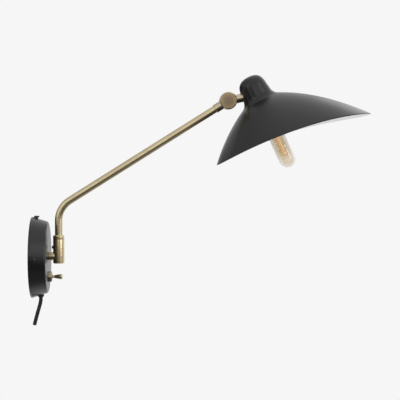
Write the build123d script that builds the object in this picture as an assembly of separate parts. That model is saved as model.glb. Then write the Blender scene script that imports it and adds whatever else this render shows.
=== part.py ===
from build123d import *
import math
import os

# Swing arm wall lamp, in millimetres.
# The origin is the middle of the wall cup's back, on the wall.
# +X points out from the wall, +Z up, and the arm lies in the XZ plane at rest.

# Clearances shared by the pieces that fit together
RUNNING_FIT = 0.05
SEAT_FIT = 0.02
HOLE_FIT = 0.15
MOVING_GAP = 0.3
FACE_GAP = 0.1

# Wall cup, a tapered drum of sheet steel
CUP_RIM_R = 54.0
CUP_LIP_WIDTH = 2.5
CUP_LIP_STEP = 0.5
CUP_FACE_R = 47.5
CUP_DEPTH = 22.0
CUP_WALL = 1.2
CUP_EDGE_R = 3.5

# Wall bracket, a flat strap with three arms and a bent tab on each arm
BRACKET_T = 1.5
BRACKET_WIDTH = 18.0
BRACKET_TAB_WIDTH = 12.0
BRACKET_TAB_REACH = 11.5
BRACKET_TAB_GAP = 0.6
WALL_SLOT_SPACING = 60.0
WALL_SLOT_R = 2.5
WALL_SLOT_LENGTH = 10.0

# Side screws that hold the cup on the bracket's tabs
CUP_SCREW_X = 6.5
CUP_SCREW_R = 2.0
CUP_SCREW_TAIL = 2.0
CUP_SCREW_HEAD_R = 3.5
CUP_SCREW_HEAD_T = 2.4
CUP_SCREW_SLOT = 1.0
CUP_SCREW_ANGLES = (0, 90, -90)

# Brass post that carries the barrel, and the hollow nipple inside it
POST_Z = 1.2
POST_R = 5.45
NIPPLE_R = 4.0
NIPPLE_BORE_R = 2.8
NIPPLE_TAIL_X = 12.0
NIPPLE_NUT_ACROSS = 13.0
NIPPLE_NUT_T = 4.5
NIPPLE_WASHER_R = 8.0
NIPPLE_WASHER_T = 1.0

# Upright barrel in which the arm turns
PIVOT_X = 35.6
BARREL_R = 7.5
BARREL_BOTTOM_Z = -8.3
BARREL_TOP_Z = 24.0
BARREL_FLOOR_T = 3.8
BARREL_CAVITY_R = 4.5
BARREL_EDGE = 0.7
BUSH_R = 6.2
BUSH_BOTTOM_Z = 7.0
COLLAR_H = 5.2
SET_SCREW_R = 2.0
SET_SCREW_Z = 13.3
SET_SCREW_PROUD = 1.6
SET_SCREW_SOCKET_ACROSS = 2.0
SET_SCREW_SOCKET_DEPTH = 1.8
GROOVE_DEPTH = 0.5

# Bent arm tube
ARM_R = 5.0
ARM_WALL = 1.5
ARM_FOOT_Z = 8.0
ARM_CORNER_Z = 66.5
ARM_BEND_R = 32.0
ARM_ANGLE = 32.2
ARM_LENGTH = 270.4
ARM_WIRE_R = 2.6

# Knuckle: two half-lapped discs on a screw, with a ferrule and a stub
DISC_R = 11.8
DISC_T = 6.8
DISC_EDGE = 1.2
DISC_SPLIT = 0.25
FERRULE_R = 6.0
FERRULE_REACH = 21.1
FERRULE_SOCKET_END = 13.5
FERRULE_EDGE = 0.5
KNUCKLE_WIRE_R = 2.8
KNUCKLE_WIRE_START = 9.0
KNUCKLE_SCREW_R = 3.0
KNUCKLE_SCREW_SKIN = 1.6
KNUCKLE_HEAD_R = 5.6
KNUCKLE_HEAD_T = 3.0
KNUCKLE_SLOT_W = 1.2
KNUCKLE_SLOT_DEPTH = 1.3
SPRING_WASHER_T = 0.9
FRICTION_WASHER_R = 9.5
STUB_ANGLE = 13.0
STUB_R = 6.0
STUB_THREAD_R = 4.9
STUB_THREAD_END = 30.5

# Shade: a small dome that flares into a bell with an egg-shaped rim
SHADE_TILT = 27.85
SHADE_OUT = 42.2
SHADE_UP = 2.9
SHADE_T = 1.2
DOME_TOP = -33.2
DOME_CROWN_R = 13.1
DOME_SHOULDER_R = 17.7
DOME_SHOULDER = -27.2
DOME_WALL_R = 18.9
DOME_WALL = -17.7
NECK_R = 20.5
NECK = -5.5
NECK_FULLNESS = 0.6
BELL_START_R = 27.0
BELL_START = 4.02
BELL_START_SLOPE = 0.493
BELL_END_R = 132.0
BELL_END = 98.1
BELL_END_SLOPE = 1.328
RIM_MEAN_R = 102.36
RIM_REACH = 15.38
RIM_OVAL = 6.23
RIM_NOSE = 0.85
RIM_CORNER = 0.35
RIM_POINTS = 36

# Holder bracket, nuts and lampholder inside the shade
SADDLE_R = 8.0
SADDLE_SEAT = 24.0
STUB_NUT_ACROSS = 14.0
STUB_NUT_T = 4.0
STRIP_T = 1.5
STRIP_WIDTH = 12.0
STRIP_TOP = 7.0
STRIP_END = 8.5
HOLDER_DROP = 2.0
HOLDER_LEAN = 2.5
HOLDER_NIPPLE_R = 4.95
HOLDER_NIPPLE_BORE_R = 3.4
HOLDER_NIPPLE_TOP = -4.5
HOLDER_NIPPLE_END = 6.5
HOLDER_NUT_T = 3.5
HOLDER_R = 13.2
HOLDER_WALL = 1.7
HOLDER_CAP_TOP_T = 3.5
HOLDER_SPLIT = 16.0
HOLDER_SPIGOT = 4.0
HOLDER_END = 40.5
HOLDER_EDGE = 0.8
SLEEVE_R = 8.2
SLEEVE_BORE_R = 7.1
SLEEVE_START = 18.0
TONGUE_WIDTH = 4.0
TONGUE_LENGTH = 11.0
HOLDER_WIRE_R = 1.8
HOLDER_WIRE_BEND_R = 3.5

# Tubular bulb with a small screw cap, along the holder's axis
BULB_TIP = 100.0
BULB_R = 11.2
BULB_WALL = 0.8
BULB_NECK_R = 6.5
BULB_SHOULDER = 51.0
BULB_NECK_END = 42.5
BULB_CAP_R = 6.4
BULB_CAP_BORE_R = 5.6
BULB_CAP_START = 20.5
BULB_CAP_END = 40.0
BULB_THREAD_H = 0.45
BULB_THREAD_PITCH = 2.8
BULB_THREAD_COUNT = 6
BULB_CONTACT_R = 2.4
BULB_CONTACT_START = 17.0
BULB_CONTACT_T = 1.2
STEM_R = 4.6
STEM_TIP_R = 2.2
STEM_TIP = 54.0
SPIDER_R = 2.8
SPIDER_T = 0.6
INNER_TUBE_R = 7.2
INNER_TUBE_WALL = 0.5
INNER_TUBE_TIP = 95.6
INNER_TUBE_CORNER_R = 5.0
FILAMENT_R = 0.9
FILAMENT_RING_R = 1.4
FILAMENT_LENGTH = 28.0
FILAMENT_COUNT = 4

# Toggle switch on the cup's face
SWITCH_Z = -26.1
SWITCH_BUSHING_R = 5.9
SWITCH_BUSHING_BORE_R = 3.4
SWITCH_BUSHING_PROUD = 5.0
SWITCH_NUT_ACROSS = 13.8
SWITCH_NUT_T = 4.4
SWITCH_BODY_LENGTH = 12.5
SWITCH_BODY_WIDTH = 13.0
SWITCH_BODY_HEIGHT = 18.0
SWITCH_TAG_LENGTH = 4.0
SWITCH_TAG_WIDTH = 4.8
SWITCH_TAG_T = 0.8
SWITCH_TAG_SPACING = 10.0
LEVER_PIVOT_DEPTH = 0.5
LEVER_BALL_R = 3.1
LEVER_ROOT_R = 1.1
LEVER_TIP_R = 3.5
LEVER_LENGTH = 19.2
LEVER_SHOULDER = 15.5
LEVER_ANGLE = 10.0

# Mains cord, its gland, and the leads inside the cup
CORD_R = 2.5
CORD_BEND_SHARE = 0.45
CORD_FALL = (
    (0.0, 0.0),
    (0.0, -2.7),
    (-0.3, -5.6),
    (-1.1, -9.5),
    (-3.3, -17.0),
    (-6.3, -27.4),
    (-8.7, -37.2),
)
GLAND_X = 11.6
GLAND_R = 4.3
GLAND_NECK_R = 3.6
GLAND_NOSE_R = 3.0
GLAND_NOSE_H = 1.4
GLAND_PROUD = 2.9
GLAND_DEPTH = 3.1
BLOCK_Y = 14.0
BLOCK_TOP_Z = -2.0
BLOCK_WIDTH = 20.0
BLOCK_HEIGHT = 22.0
BLOCK_T = 10.0
BLOCK_LEAD_INSET = 6.0
BLOCK_SCREW_INSET = 14.0
BLOCK_PITCH = 6.0
BLOCK_FIRST = 5.0
BLOCK_SCREW_R = 1.7
BLOCK_SCREW_H = 1.2
LEAD_R = 1.1
LEAD_BEND_R = 4.0
LAMP_LEAD_R = 2.0
LAMP_LEAD_TURN_X = 7.0
MAINS_LEAD_SPREAD = 1.5

# Places and frames worked out from the sizes above
CUP_TAPER = (CUP_RIM_R - CUP_LIP_STEP - CUP_FACE_R) / (CUP_DEPTH - CUP_LIP_WIDTH)
CUP_INNER_X = CUP_DEPTH - CUP_WALL
GLAND_SEAT_R = CUP_RIM_R - CUP_LIP_STEP - CUP_TAPER * (GLAND_X - CUP_LIP_WIDTH)
GLAND_INNER_Z = GLAND_DEPTH - GLAND_SEAT_R
CORD_TOP_Z = -GLAND_SEAT_R - GLAND_PROUD
CORD_ROUTE = [(GLAND_X + out, 0.0, CORD_TOP_Z + down) for out, down in CORD_FALL]
TAB_R = math.sqrt(
    (CUP_RIM_R - CUP_LIP_STEP - CUP_TAPER * (BRACKET_TAB_REACH - CUP_LIP_WIDTH)
     - CUP_WALL * math.hypot(1, CUP_TAPER) - BRACKET_TAB_GAP) ** 2
    - (BRACKET_TAB_WIDTH / 2) ** 2)
ARM_DIRECTION = Vector(math.cos(math.radians(ARM_ANGLE)), 0, math.sin(math.radians(ARM_ANGLE)))
ARM_CORNER = Vector(PIVOT_X, 0, ARM_CORNER_Z)
KNUCKLE = ARM_CORNER + ARM_DIRECTION * ARM_LENGTH
STUB_DIRECTION = Vector(math.cos(math.radians(STUB_ANGLE)), 0, math.sin(math.radians(STUB_ANGLE)))
SHADE_AXIS = Vector(math.sin(math.radians(SHADE_TILT)), 0, -math.cos(math.radians(SHADE_TILT)))
SHADE_CENTRE = KNUCKLE + Vector(SHADE_OUT, 0, SHADE_UP)
HOLDER_TILT = SHADE_TILT - HOLDER_LEAN
HOLDER_AXIS = Vector(math.sin(math.radians(HOLDER_TILT)), 0, -math.cos(math.radians(HOLDER_TILT)))
HOLDER_SEAT = SHADE_CENTRE + SHADE_AXIS * HOLDER_DROP

WALL_FRAME = Plane(origin=(0, 0, 0), x_dir=(0, 1, 0), z_dir=(1, 0, 0))
POST_FRAME = Plane(origin=(0, 0, POST_Z), x_dir=(0, 1, 0), z_dir=(1, 0, 0))
SWITCH_FRAME = Plane(origin=(CUP_DEPTH, 0, SWITCH_Z), x_dir=(0, 1, 0), z_dir=(1, 0, 0))
PIVOT_FRAME = Plane(origin=(PIVOT_X, 0, 0))
FERRULE_FRAME = Plane(origin=KNUCKLE, x_dir=(0, 1, 0), z_dir=-ARM_DIRECTION)
STUB_FRAME = Plane(origin=KNUCKLE, x_dir=(0, 1, 0), z_dir=STUB_DIRECTION)
DISC_FRAME = Plane(origin=KNUCKLE, x_dir=(1, 0, 0), z_dir=(0, 1, 0))
SHADE_FRAME = Plane(origin=SHADE_CENTRE, x_dir=(0, 1, 0), z_dir=SHADE_AXIS)
HOLDER_FRAME = Plane(origin=HOLDER_SEAT, x_dir=(0, 1, 0), z_dir=HOLDER_AXIS)


def turned(outline):
    """Solid of revolution about local Z from a closed outline of (radius, height) points."""
    return revolve(Plane.XZ * make_face(Polyline(*outline, close=True)), Axis.Z)


def rod(radius, start, end):
    """Solid round bar along local Z."""
    return Pos(0, 0, start) * Cylinder(radius, end - start, align=(Align.CENTER, Align.CENTER, Align.MIN))


def pipe(radius, bore, start, end):
    """Round tube along local Z."""
    return rod(radius, start, end) - rod(bore, start, end)


def hex_nut(across, bore, start, end):
    """Hexagonal nut along local Z, with two flats square to local Y."""
    outline = RegularPolygon(across / 2, 6, major_radius=False)
    return Pos(0, 0, start) * extrude(outline, end - start) - rod(bore, start, end)


def block(low, high):
    """Box between two opposite corners."""
    size = [top - bottom for bottom, top in zip(low, high)]
    return Pos(*low) * Box(*size, align=(Align.MIN, Align.MIN, Align.MIN))


def wire(points, radii, radius):
    """Round wire along straight runs joined by tangent arcs."""
    path = FilletPolyline(*points, radius=radii)
    return sweep(Plane(origin=path @ 0, z_dir=path % 0) * Circle(radius), path)


def group(solids):
    """Several separate solids that make one piece of the list."""
    return Compound(children=list(solids))


def cup_radius(x):
    """Outside radius of the cup's tapered side at a distance from the wall."""
    return CUP_RIM_R - CUP_LIP_STEP - CUP_TAPER * (x - CUP_LIP_WIDTH)


# Pieces on the wall

def make_wall_cup():
    """Wall cup with holes for the post, the switch, the side screws and the cord gland."""
    inner_lip = CUP_RIM_R - CUP_WALL
    slant = CUP_WALL * math.hypot(1, CUP_TAPER)
    outline = [
        (CUP_RIM_R, 0),
        (CUP_RIM_R, CUP_LIP_WIDTH),
        (cup_radius(CUP_LIP_WIDTH), CUP_LIP_WIDTH),
        (CUP_FACE_R, CUP_DEPTH),
        (0, CUP_DEPTH),
        (0, CUP_INNER_X),
        (cup_radius(CUP_INNER_X) - slant, CUP_INNER_X),
        (cup_radius(CUP_LIP_WIDTH) - slant, CUP_LIP_WIDTH),
        (inner_lip - CUP_LIP_STEP, 0),
    ]
    face = make_face(Polyline(*outline, close=True))
    outer_corner = face.vertices().sort_by_distance((CUP_FACE_R, CUP_DEPTH, 0))[0]
    face = fillet(outer_corner, CUP_EDGE_R)
    inner_corner = face.vertices().sort_by_distance((cup_radius(CUP_INNER_X) - slant, CUP_INNER_X, 0))[0]
    face = fillet(inner_corner, CUP_EDGE_R - CUP_WALL)
    cup = WALL_FRAME * revolve(Plane.XZ * face, Axis.Z)
    cup -= POST_FRAME * rod(NIPPLE_R + HOLE_FIT, 0, CUP_DEPTH)
    cup -= SWITCH_FRAME * rod(SWITCH_BUSHING_R + HOLE_FIT, -CUP_DEPTH, 0)
    for angle in CUP_SCREW_ANGLES:
        hole = Pos(CUP_SCREW_X, 0, 0) * rod(CUP_SCREW_R + HOLE_FIT, TAB_R, CUP_RIM_R)
        cup -= Rot(X=angle) * hole
    cup -= Pos(GLAND_X, 0, 0) * rod(GLAND_NECK_R, -CUP_RIM_R, GLAND_INNER_Z)
    return cup


def make_wall_bracket():
    """Strap bracket with wall slots and three bent tabs."""
    half = BRACKET_WIDTH / 2
    strap = block((0, -TAB_R, -half), (BRACKET_T, TAB_R, half))
    strap += block((0, -half, 0), (BRACKET_T, half, TAB_R))
    tab = block((0, -BRACKET_TAB_WIDTH / 2, TAB_R - BRACKET_T),
                (BRACKET_TAB_REACH, BRACKET_TAB_WIDTH / 2, TAB_R))
    tab -= Pos(CUP_SCREW_X, 0, 0) * rod(CUP_SCREW_R + SEAT_FIT, TAB_R - 2 * BRACKET_T, CUP_RIM_R)
    for angle in CUP_SCREW_ANGLES:
        strap += Rot(X=angle) * tab
    slot_shape = SlotOverall(WALL_SLOT_LENGTH, 2 * WALL_SLOT_R)
    for side in (-1, 1):
        slot = extrude(slot_shape, BRACKET_T)
        strap -= WALL_FRAME * Pos(side * WALL_SLOT_SPACING / 2, 0, 0) * slot
    return strap


def make_cup_screws():
    """Three slotted pan head screws that stand a little off the tapered side."""
    seat = cup_radius(CUP_SCREW_X - CUP_SCREW_HEAD_R)
    top = seat + CUP_SCREW_HEAD_T
    screw = rod(CUP_SCREW_R, TAB_R - BRACKET_T - CUP_SCREW_TAIL, seat) + rod(CUP_SCREW_HEAD_R, seat, top)
    rim = screw.edges().group_by(Axis.Z)[-1]
    screw = fillet(rim, CUP_SCREW_HEAD_T / 2)
    slot_low = (-CUP_SCREW_HEAD_R, -CUP_SCREW_SLOT / 2, top - CUP_SCREW_SLOT)
    slot_high = (CUP_SCREW_HEAD_R, CUP_SCREW_SLOT / 2, top)
    screw -= block(slot_low, slot_high)
    return group(Rot(X=angle) * Pos(CUP_SCREW_X, 0, 0) * screw for angle in CUP_SCREW_ANGLES)


def make_post():
    """Brass sleeve between the cup's face and the barrel."""
    post = POST_FRAME * pipe(POST_R, NIPPLE_R + SEAT_FIT, CUP_DEPTH, PIVOT_X)
    return post - PIVOT_FRAME * rod(BARREL_R, BARREL_BOTTOM_Z, BARREL_TOP_Z)


def make_nipple():
    """Hollow threaded rod that clamps the barrel and post to the cup."""
    end = PIVOT_X - BARREL_CAVITY_R - FACE_GAP
    return POST_FRAME * pipe(NIPPLE_R, NIPPLE_BORE_R, NIPPLE_TAIL_X, end)


def make_nipple_washer():
    """Flat washer inside the cup."""
    return POST_FRAME * pipe(NIPPLE_WASHER_R, NIPPLE_R + HOLE_FIT, CUP_INNER_X - NIPPLE_WASHER_T, CUP_INNER_X)


def make_nipple_nut():
    """Lock nut inside the cup."""
    seat = CUP_INNER_X - NIPPLE_WASHER_T
    return POST_FRAME * hex_nut(NIPPLE_NUT_ACROSS, NIPPLE_R + SEAT_FIT, seat - NIPPLE_NUT_T, seat)


def set_screw_hole(radius):
    """Cutting bar for the set screw, from the pivot out towards the wall."""
    return Plane(origin=(PIVOT_X, 0, SET_SCREW_Z), z_dir=(-1, 0, 0)) * rod(radius, 0, 2 * BARREL_R)


def make_barrel():
    """Brass barrel with a bush seat, a wire cavity and the nipple's thread hole."""
    barrel = rod(BARREL_R, BARREL_BOTTOM_Z, BARREL_TOP_Z)
    barrel = chamfer(barrel.edges().filter_by(GeomType.CIRCLE).sort_by(Axis.Z)[0], BARREL_EDGE)
    barrel -= rod(BUSH_R, BUSH_BOTTOM_Z, BARREL_TOP_Z)
    barrel -= rod(BARREL_CAVITY_R, BARREL_BOTTOM_Z + BARREL_FLOOR_T, BUSH_BOTTOM_Z)
    barrel = PIVOT_FRAME * barrel
    barrel -= POST_FRAME * rod(NIPPLE_R + SEAT_FIT, 0, PIVOT_X)
    return barrel - set_screw_hole(SET_SCREW_R + SEAT_FIT)


def make_barrel_bush():
    """Bearing bush pressed into the barrel."""
    bush = PIVOT_FRAME * pipe(BUSH_R - SEAT_FIT, ARM_R + RUNNING_FIT, BUSH_BOTTOM_Z, BARREL_TOP_Z)
    return bush - set_screw_hole(SET_SCREW_R + SEAT_FIT)


def make_barrel_set_screw():
    """Black set screw whose tip runs in the groove at the foot of the arm."""
    tip = ARM_R - GROOVE_DEPTH + HOLE_FIT
    head = BARREL_R + SET_SCREW_PROUD
    screw = rod(SET_SCREW_R, tip, head)
    socket = RegularPolygon(SET_SCREW_SOCKET_ACROSS / 2, 6, major_radius=False)
    screw -= Pos(0, 0, head - SET_SCREW_SOCKET_DEPTH) * extrude(socket, SET_SCREW_SOCKET_DEPTH)
    return Plane(origin=(PIVOT_X, 0, SET_SCREW_Z), z_dir=(-1, 0, 0)) * screw


# Toggle switch

def make_switch_body():
    """Moulded body of the toggle switch, against the inside of the cup's face."""
    high_x = CUP_INNER_X
    low = (high_x - SWITCH_BODY_LENGTH, -SWITCH_BODY_WIDTH / 2, SWITCH_Z - SWITCH_BODY_HEIGHT / 2)
    high = (high_x, SWITCH_BODY_WIDTH / 2, SWITCH_Z + SWITCH_BODY_HEIGHT / 2)
    body = block(low, high)
    pocket = CUP_INNER_X - CUP_DEPTH - LEVER_BALL_R - LEVER_PIVOT_DEPTH - MOVING_GAP
    return body - SWITCH_FRAME * rod(SWITCH_BUSHING_BORE_R, pocket, CUP_INNER_X - CUP_DEPTH)


def make_switch_bushing():
    """Threaded bushing of the toggle switch, through the cup's face."""
    return SWITCH_FRAME * pipe(SWITCH_BUSHING_R, SWITCH_BUSHING_BORE_R, -CUP_WALL, SWITCH_BUSHING_PROUD)


def make_switch_nut():
    """Hexagonal dress nut of the toggle switch."""
    nut = hex_nut(SWITCH_NUT_ACROSS, SWITCH_BUSHING_R + SEAT_FIT, 0, SWITCH_NUT_T)
    return SWITCH_FRAME * nut


def make_switch_tags():
    """Two solder tags at the back of the switch."""
    high_x = CUP_INNER_X - SWITCH_BODY_LENGTH
    tags = []
    for side in (-1, 1):
        z = SWITCH_Z + side * SWITCH_TAG_SPACING / 2
        low = (high_x - SWITCH_TAG_LENGTH, -SWITCH_TAG_WIDTH / 2, z - SWITCH_TAG_T / 2)
        high = (high_x, SWITCH_TAG_WIDTH / 2, z + SWITCH_TAG_T / 2)
        tags.append(block(low, high))
    return group(tags)


def make_toggle_lever():
    """Flared brass lever on a ball, thrown to its near side."""
    outline = [
        (0, 0),
        (LEVER_ROOT_R, 0),
        (LEVER_ROOT_R, LEVER_BALL_R),
        (LEVER_TIP_R, LEVER_SHOULDER),
        (LEVER_TIP_R, LEVER_LENGTH - LEVER_TIP_R / 2),
        (LEVER_TIP_R / 2, LEVER_LENGTH),
        (0, LEVER_LENGTH),
    ]
    lever = turned(outline) + Sphere(LEVER_BALL_R)
    return SWITCH_FRAME * Pos(0, 0, -LEVER_PIVOT_DEPTH) * Rot(X=0, Y=-LEVER_ANGLE) * lever


# Cord, gland and leads

def cord_radii(points):
    """Largest arc for each corner of the cord's route."""
    radii = []
    for before, corner, after in zip(points, points[1:], points[2:]):
        run_in = Vector(*corner) - Vector(*before)
        run_out = Vector(*after) - Vector(*corner)
        half = math.radians(run_in.get_angle(run_out)) / 2
        radii.append(CORD_BEND_SHARE * min(run_in.length, run_out.length) / math.tan(half))
    return radii


def make_cord():
    """Mains cord from the gland's nose down to its cut end."""
    radii = cord_radii(CORD_ROUTE)
    path = FilletPolyline(*CORD_ROUTE, radius=radii)
    cord = sweep(Plane(origin=path @ 0, z_dir=path % 0) * Circle(CORD_R), path)
    expected = math.pi * CORD_R ** 2 * path.length
    print("cord length", round(path.length, 2), "arc radii", [round(r, 1) for r in radii])
    print("cord volume over section times length", round(cord.volume / expected, 4))
    return cord


def make_cord_gland(cup):
    """Rubber grommet that grips the cup's wall and the cord."""
    outline = [
        (0, GLAND_INNER_Z),
        (GLAND_R, GLAND_INNER_Z),
        (GLAND_R, CORD_TOP_Z + GLAND_NOSE_H),
        (GLAND_NOSE_R, CORD_TOP_Z),
        (0, CORD_TOP_Z),
    ]
    return Pos(GLAND_X, 0, 0) * turned(outline) - cup


def block_place(row, inset):
    """Point on the terminal block's back face, by row from the top and inset from its near side."""
    return (CUP_INNER_X - BLOCK_T, BLOCK_Y + inset, BLOCK_TOP_Z - BLOCK_FIRST - row * BLOCK_PITCH)


def make_terminal_block():
    """Terminal block on the inside of the cup's face."""
    low = (CUP_INNER_X - BLOCK_T, BLOCK_Y, BLOCK_TOP_Z - BLOCK_HEIGHT)
    high = (CUP_INNER_X, BLOCK_Y + BLOCK_WIDTH, BLOCK_TOP_Z)
    return block(low, high)


def make_terminal_screws():
    """Three screws on the back of the terminal block."""
    screw = rod(BLOCK_SCREW_R, 0, BLOCK_SCREW_H)
    places = [block_place(row, BLOCK_SCREW_INSET) for row in range(3)]
    return group(Plane(origin=place, z_dir=(-1, 0, 0)) * screw for place in places)


def make_mains_leads():
    """Two leads from the gland, under the switch, up to the underside of the terminal block."""
    bottom = BLOCK_TOP_Z - BLOCK_HEIGHT
    switch_bottom = SWITCH_Z - SWITCH_BODY_HEIGHT / 2
    turn_z = (GLAND_INNER_Z + switch_bottom) / 2
    y = BLOCK_Y + BLOCK_LEAD_INSET
    leads = []
    for side in (-1, 1):
        start_x = GLAND_X + side * MAINS_LEAD_SPREAD
        low_turn = (start_x, 0, turn_z)
        high_turn = (start_x + LEAD_BEND_R, y, bottom - 2 * LEAD_BEND_R)
        end = (start_x + LEAD_BEND_R, y, bottom)
        start = (start_x, 0, GLAND_INNER_Z)
        leads.append(wire([start, low_turn, high_turn, end], [LEAD_BEND_R, LEAD_BEND_R], LEAD_R))
    return group(leads)


def make_switch_leads():
    """Two leads from the switch's tags to the terminal block."""
    tag_x = CUP_INNER_X - SWITCH_BODY_LENGTH - SWITCH_TAG_LENGTH / 2
    leads = []
    for row, side in ((1, 1), (2, -1)):
        tag_z = SWITCH_Z + side * SWITCH_TAG_SPACING / 2
        end = block_place(row, BLOCK_LEAD_INSET)
        turn = (tag_x, end[1], end[2])
        start = (tag_x, SWITCH_TAG_WIDTH / 2 + LEAD_R / 2, tag_z)
        leads.append(wire([start, turn, end], [LEAD_BEND_R], LEAD_R))
    return group(leads)


def make_lamp_lead():
    """Lead from the terminal block through the nipple and up under the arm."""
    end = block_place(0, BLOCK_LEAD_INSET)
    points = [
        end,
        (LAMP_LEAD_TURN_X, end[1], end[2]),
        (LAMP_LEAD_TURN_X, 0, POST_Z),
        (PIVOT_X, 0, POST_Z),
        (PIVOT_X, 0, ARM_FOOT_Z - MOVING_GAP),
    ]
    bends = [LAMP_LEAD_R + LEAD_R, LEAD_BEND_R, LEAD_BEND_R]
    return wire(points, bends, LAMP_LEAD_R)


# Pieces that swing with the arm

def arm_path(foot, reach):
    """Arm's centre line from a height on the pivot to a distance short of the knuckle."""
    end = KNUCKLE - ARM_DIRECTION * reach
    return FilletPolyline((PIVOT_X, 0, foot), ARM_CORNER, end, radius=ARM_BEND_R)


def make_arm_tube():
    """Bent arm tube with a groove at its foot for the set screw."""
    path = arm_path(ARM_FOOT_Z, FERRULE_SOCKET_END)
    section = Circle(ARM_R) - Circle(ARM_R - ARM_WALL)
    tube = sweep(Plane(origin=path @ 0, z_dir=path % 0) * section, path)
    half = SET_SCREW_R + MOVING_GAP
    groove = pipe(BUSH_R, ARM_R - GROOVE_DEPTH, SET_SCREW_Z - half, SET_SCREW_Z + half)
    return tube - PIVOT_FRAME * groove


def make_arm_collar():
    """Ring fixed on the arm that rests on top of the barrel."""
    bottom = BARREL_TOP_Z + FACE_GAP
    collar = rod(BARREL_R, bottom, bottom + COLLAR_H)
    collar = chamfer(collar.edges().filter_by(GeomType.CIRCLE).sort_by(Axis.Z)[-1], BARREL_EDGE)
    return PIVOT_FRAME * (collar - rod(ARM_R + SEAT_FIT, bottom, bottom + COLLAR_H))


def make_arm_wire():
    """Flex inside the arm tube."""
    path = arm_path(ARM_FOOT_Z, DISC_R + 2 * MOVING_GAP)
    return sweep(Plane(origin=path @ 0, z_dir=path % 0) * Circle(ARM_WIRE_R), path)


def half_disc(side):
    """One disc of the knuckle with a chamfered outer face, on the near (-1) or far (1) side."""
    inner = side * DISC_SPLIT
    outer = side * (DISC_SPLIT + DISC_T)
    disc = rod(DISC_R, min(inner, outer), max(inner, outer))
    outer_rim = disc.edges().filter_by(GeomType.CIRCLE).sort_by(Axis.Z)[-1 if side > 0 else 0]
    return DISC_FRAME * chamfer(outer_rim, DISC_EDGE)


def lap_clearance(side):
    """Room that a shank leaves for the other half's disc."""
    reach = DISC_SPLIT + DISC_T + STUB_R
    ends = sorted((-side * reach, side * DISC_SPLIT))
    return DISC_FRAME * rod(DISC_R + MOVING_GAP, ends[0], ends[1])


def make_knuckle_arm_half():
    """Near disc of the knuckle with the ferrule that takes the arm tube."""
    shank = rod(FERRULE_R, 0, FERRULE_REACH)
    shank = chamfer(shank.edges().filter_by(GeomType.CIRCLE).sort_by(Axis.Z)[-1], FERRULE_EDGE)
    half = FERRULE_FRAME * shank - lap_clearance(-1) + half_disc(-1)
    half -= FERRULE_FRAME * rod(ARM_R + SEAT_FIT, FERRULE_SOCKET_END, FERRULE_REACH)
    half -= FERRULE_FRAME * rod(KNUCKLE_WIRE_R, KNUCKLE_WIRE_START - HOLE_FIT, FERRULE_SOCKET_END)
    tip = KNUCKLE_SCREW_SKIN - DISC_SPLIT - DISC_T
    return half - DISC_FRAME * rod(KNUCKLE_SCREW_R + SEAT_FIT, tip, 0)


def make_friction_washer():
    """Thin fibre washer between the two discs."""
    bore = KNUCKLE_SCREW_R + HOLE_FIT
    return DISC_FRAME * pipe(FRICTION_WASHER_R, bore, -DISC_SPLIT, DISC_SPLIT - FACE_GAP)


def make_spring_washer():
    """Spring washer under the knuckle screw's head."""
    seat = DISC_SPLIT + DISC_T + FACE_GAP
    return DISC_FRAME * pipe(KNUCKLE_HEAD_R, KNUCKLE_SCREW_R + HOLE_FIT, seat, seat + SPRING_WASHER_T)


def make_knuckle_screw():
    """Slotted screw that clamps the two discs from the far side."""
    tip = KNUCKLE_SCREW_SKIN - DISC_SPLIT - DISC_T
    seat = DISC_SPLIT + DISC_T + FACE_GAP + SPRING_WASHER_T
    top = seat + KNUCKLE_HEAD_T
    screw = rod(KNUCKLE_SCREW_R, tip, seat) + rod(KNUCKLE_HEAD_R, seat, top)
    screw = chamfer(screw.edges().group_by(Axis.Z)[-1], KNUCKLE_HEAD_T / 4)
    half = KNUCKLE_SLOT_W / 2
    screw -= block((-KNUCKLE_HEAD_R, -half, top - KNUCKLE_SLOT_DEPTH), (KNUCKLE_HEAD_R, half, top))
    return DISC_FRAME * screw


# Shade and what tilts with it

def bezier_points(start, end):
    """Control points of the bell's curve between two (radius, depth, slope) ends."""
    third = (end[0] - start[0]) / 3
    return [
        start[:2],
        (start[0] + third, start[1] + start[2] * third),
        (end[0] - third, end[1] - end[2] * third),
        end[:2],
    ]


def blend_points(start, corner, end):
    """Control points of a rounded corner."""
    first = [s + NECK_FULLNESS * (c - s) for s, c in zip(start, corner)]
    second = [e + NECK_FULLNESS * (c - e) for e, c in zip(end, corner)]
    return [start, tuple(first), tuple(second), end]


def shade_curves(inset):
    """Control points of the dome, neck and bell, moved in from the outside by an inset."""
    wall_lean = (NECK_R - DOME_WALL_R) / (NECK - DOME_WALL)
    wall_norm = math.hypot(1, wall_lean)
    in_wall = (-inset / wall_norm, inset * wall_lean / wall_norm)
    in_start = inset / math.hypot(1, BELL_START_SLOPE)
    in_end = inset / math.hypot(1, BELL_END_SLOPE)
    wall_top = (DOME_WALL_R + in_wall[0], DOME_WALL + in_wall[1])
    wall_end = (NECK_R + in_wall[0], NECK + in_wall[1])
    dome = [
        (0, DOME_TOP + inset),
        (DOME_CROWN_R - inset / 2, DOME_TOP + inset),
        (DOME_SHOULDER_R + in_wall[0], DOME_SHOULDER + in_wall[1]),
        wall_top,
    ]
    start = (BELL_START_R - in_start * BELL_START_SLOPE, BELL_START + in_start, BELL_START_SLOPE)
    end = (BELL_END_R - in_end * BELL_END_SLOPE, BELL_END + in_end, BELL_END_SLOPE)
    run = (start[1] - wall_end[1] - BELL_START_SLOPE * (start[0] - wall_end[0])) / (
        1 - BELL_START_SLOPE * wall_lean)
    corner = (wall_end[0] + wall_lean * run, wall_end[1] + run)
    neck = blend_points(wall_end, corner, start[:2])
    return dome, (wall_top, wall_end), neck, bezier_points(start, end)


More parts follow.
